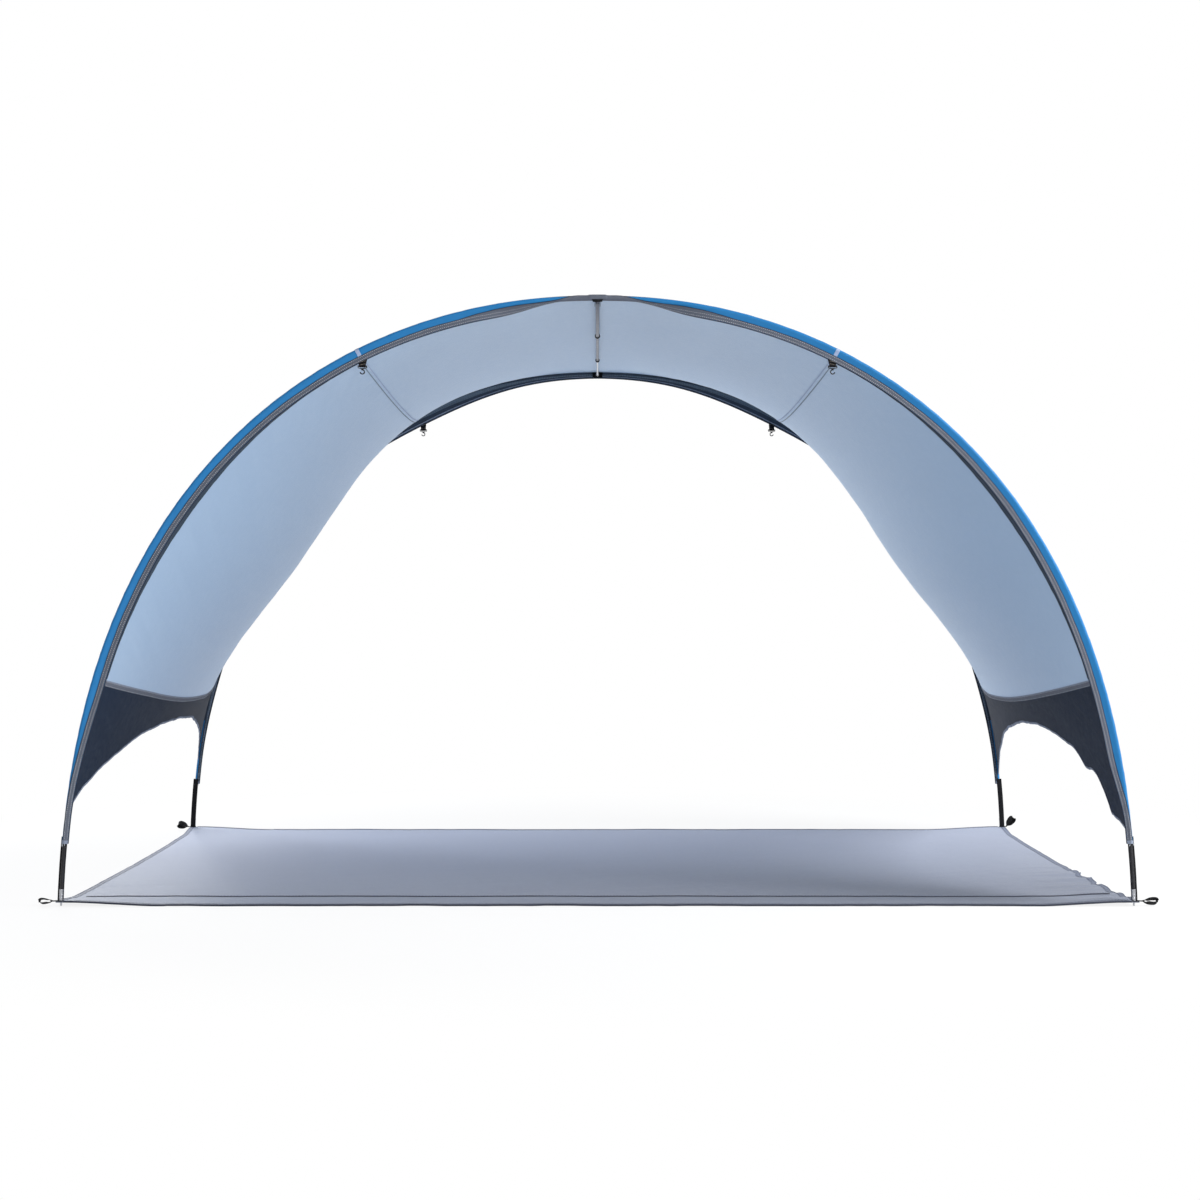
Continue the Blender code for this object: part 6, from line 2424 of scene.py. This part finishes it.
    def build(self) -> None:
        """Build the tubes, collars, tip and pockets."""
        finishes = self.finishes
        self.build_tube("ridge_tube_outer", "ridge_outer", 0.00405, finishes.tube, True)
        self.build_tube("ridge_tube_middle", "ridge_middle", 0.00305, finishes.tube, False)
        self.build_tube("ridge_tube_inner", "ridge_inner", 0.0, finishes.thin_tube, False)
        self.build_collar("ridge_collar_front", "ridge_outer", "ridge_tube_middle")
        self.build_collar("ridge_collar_rear", "ridge_middle", "ridge_tube_inner")
        self.build_tip()
        for hoop in Hoop:
            self.build_pocket(hoop)


@dataclass
class Studio:
    """A pale floor, a white background, soft lights, and the photo's camera.

    Attributes:
        camera_at: Where the camera stands.
        lens: Focal length in millimetres on a sensor 36 mm wide.
        shift: Shift of the lens, across and up.
    """

    camera_at: tuple[float, float, float] = (0.0, -6.28, 0.774)
    lens: float = 63.45
    shift: tuple[float, float] = (0.00208, 0.00167)

    def build_floor(self) -> None:
        """A round floor that keeps the shelter's shadow close by and is plain white to the
        camera further off: white comes in with the distance from the middle, for rays that come
        from the camera, a mirror or a clear body."""
        rings = np.array([0.0001, 2.2, 2.6, 3.0, 3.6, 5.0, 60.0])[:, None]
        turn = circle(1.0, 96)
        grid = placed(rings * turn[:, 0], -rings * turn[:, 1], 0.0)
        graph = Graph(bpy.data.materials.new("floor_white"))
        graph.set(Base_Color=colour("f2f3f5"), Roughness=0.9)
        position = graph.add("ShaderNodeTexCoord").outputs["Object"]
        length = graph.add("ShaderNodeVectorMath", {0: position}, operation="LENGTH").outputs["Value"]
        far = graph.add("ShaderNodeMapRange", {"Value": length, "From Min": 1.7, "From Max": 2.5},
                        interpolation_type="SMOOTHSTEP").outputs["Result"]
        white = graph.add("ShaderNodeEmission", {"Color": (1, 1, 1, 1), "Strength": 1.0})
        paler = graph.sums("ADD", graph.sums("MULTIPLY", far, 1 - FLOOR_WHITE), FLOOR_WHITE)
        share = graph.sums("MULTIPLY", self.seen_rays(graph), paler)
        mixed = graph.add("ShaderNodeMixShader", {0: share, 1: graph.shader.outputs[0], 2: white.outputs[0]})
        graph.put(graph.tree.nodes["Material Output"].inputs["Surface"], mixed.outputs[0])
        mesh = ring_mesh("studio_floor", grid, False)
        mesh.materials.append(graph.owner)
        floor = linked("studio_floor", mesh)
        floor.location.z = -0.0006

    @staticmethod
    def seen_rays(graph: Graph) -> Socket:
        """One for camera, glossy and transmission rays, and zero for all others."""
        rays = graph.add("ShaderNodeLightPath").outputs
        both = graph.sums("MAXIMUM", rays["Is Camera Ray"], rays["Is Glossy Ray"])
        return graph.sums("MAXIMUM", both, rays["Is Transmission Ray"])

    def build_world(self) -> None:
        """A world that is white to the camera and a soft cool grey to everything else."""
        world = bpy.data.worlds.new("studio_world")
        bpy.context.scene.world = world
        graph = Graph(world)
        ambient = graph.tree.nodes["Background"]
        graph.put(ambient.inputs["Color"], (0.93, 0.96, 1.0, 1.0))
        graph.put(ambient.inputs["Strength"], AMBIENT)
        white = graph.add("ShaderNodeBackground", {"Color": (1, 1, 1, 1)})
        mixed = graph.add("ShaderNodeMixShader", {0: self.seen_rays(graph), 1: ambient.outputs[0],
                                                  2: white.outputs[0]})
        graph.put(graph.tree.nodes["World Output"].inputs["Surface"], mixed.outputs[0])

    @staticmethod
    def build_light(name: str, at: Sequence[float], target: Sequence[float], size: float, power: float,
                    tint: Sequence[float]) -> None:
        """A square area light that faces a point.

        Args:
            name: Its name.
            at: Where it hangs.
            target: The point that it faces.
            size: Edge length.
            power: In watts.
            tint: Its colour.
        """
        data = bpy.data.lights.new(name, "AREA")
        data.size, data.energy, data.color = size, power, tint
        lamp = linked(name, data)
        lamp.location = at
        lamp.rotation_euler = (Vector(target) - Vector(at)).to_track_quat("-Z", "Y").to_euler()

    def build_camera(self) -> None:
        """A level camera in front, shifted a little like the photo's."""
        data = bpy.data.cameras.new("camera")
        data.lens, data.sensor_width = self.lens, 36.0
        data.shift_x, data.shift_y = self.shift
        data.clip_start, data.clip_end = 0.1, 200.0
        camera = linked("camera", data)
        camera.location = self.camera_at
        camera.rotation_euler = (math.radians(90), 0, 0)
        bpy.context.scene.camera = camera

    def build(self) -> None:
        """Build the floor, the world, the lights and the camera."""
        self.build_floor()
        self.build_world()
        for light in LIGHTS:
            self.build_light(*light)
        self.build_camera()
        bpy.context.scene.view_settings.view_transform = "Standard"


def main() -> None:
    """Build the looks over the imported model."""
    logging.basicConfig(level=logging.INFO, format="%(message)s")
    finishes = Finishes()
    form = TentForm(HoopLine.from_frame())
    Poles(form, finishes).build()
    Sleeves(form, finishes).build()
    Canopy(form, finishes).build()
    GroundSheet(form, finishes).build()
    Webbing(form, finishes).build()
    RidgePole(finishes).build()
    Studio().build()
    bpy.context.view_layer.update()


if __name__ == "__main__":
    main()
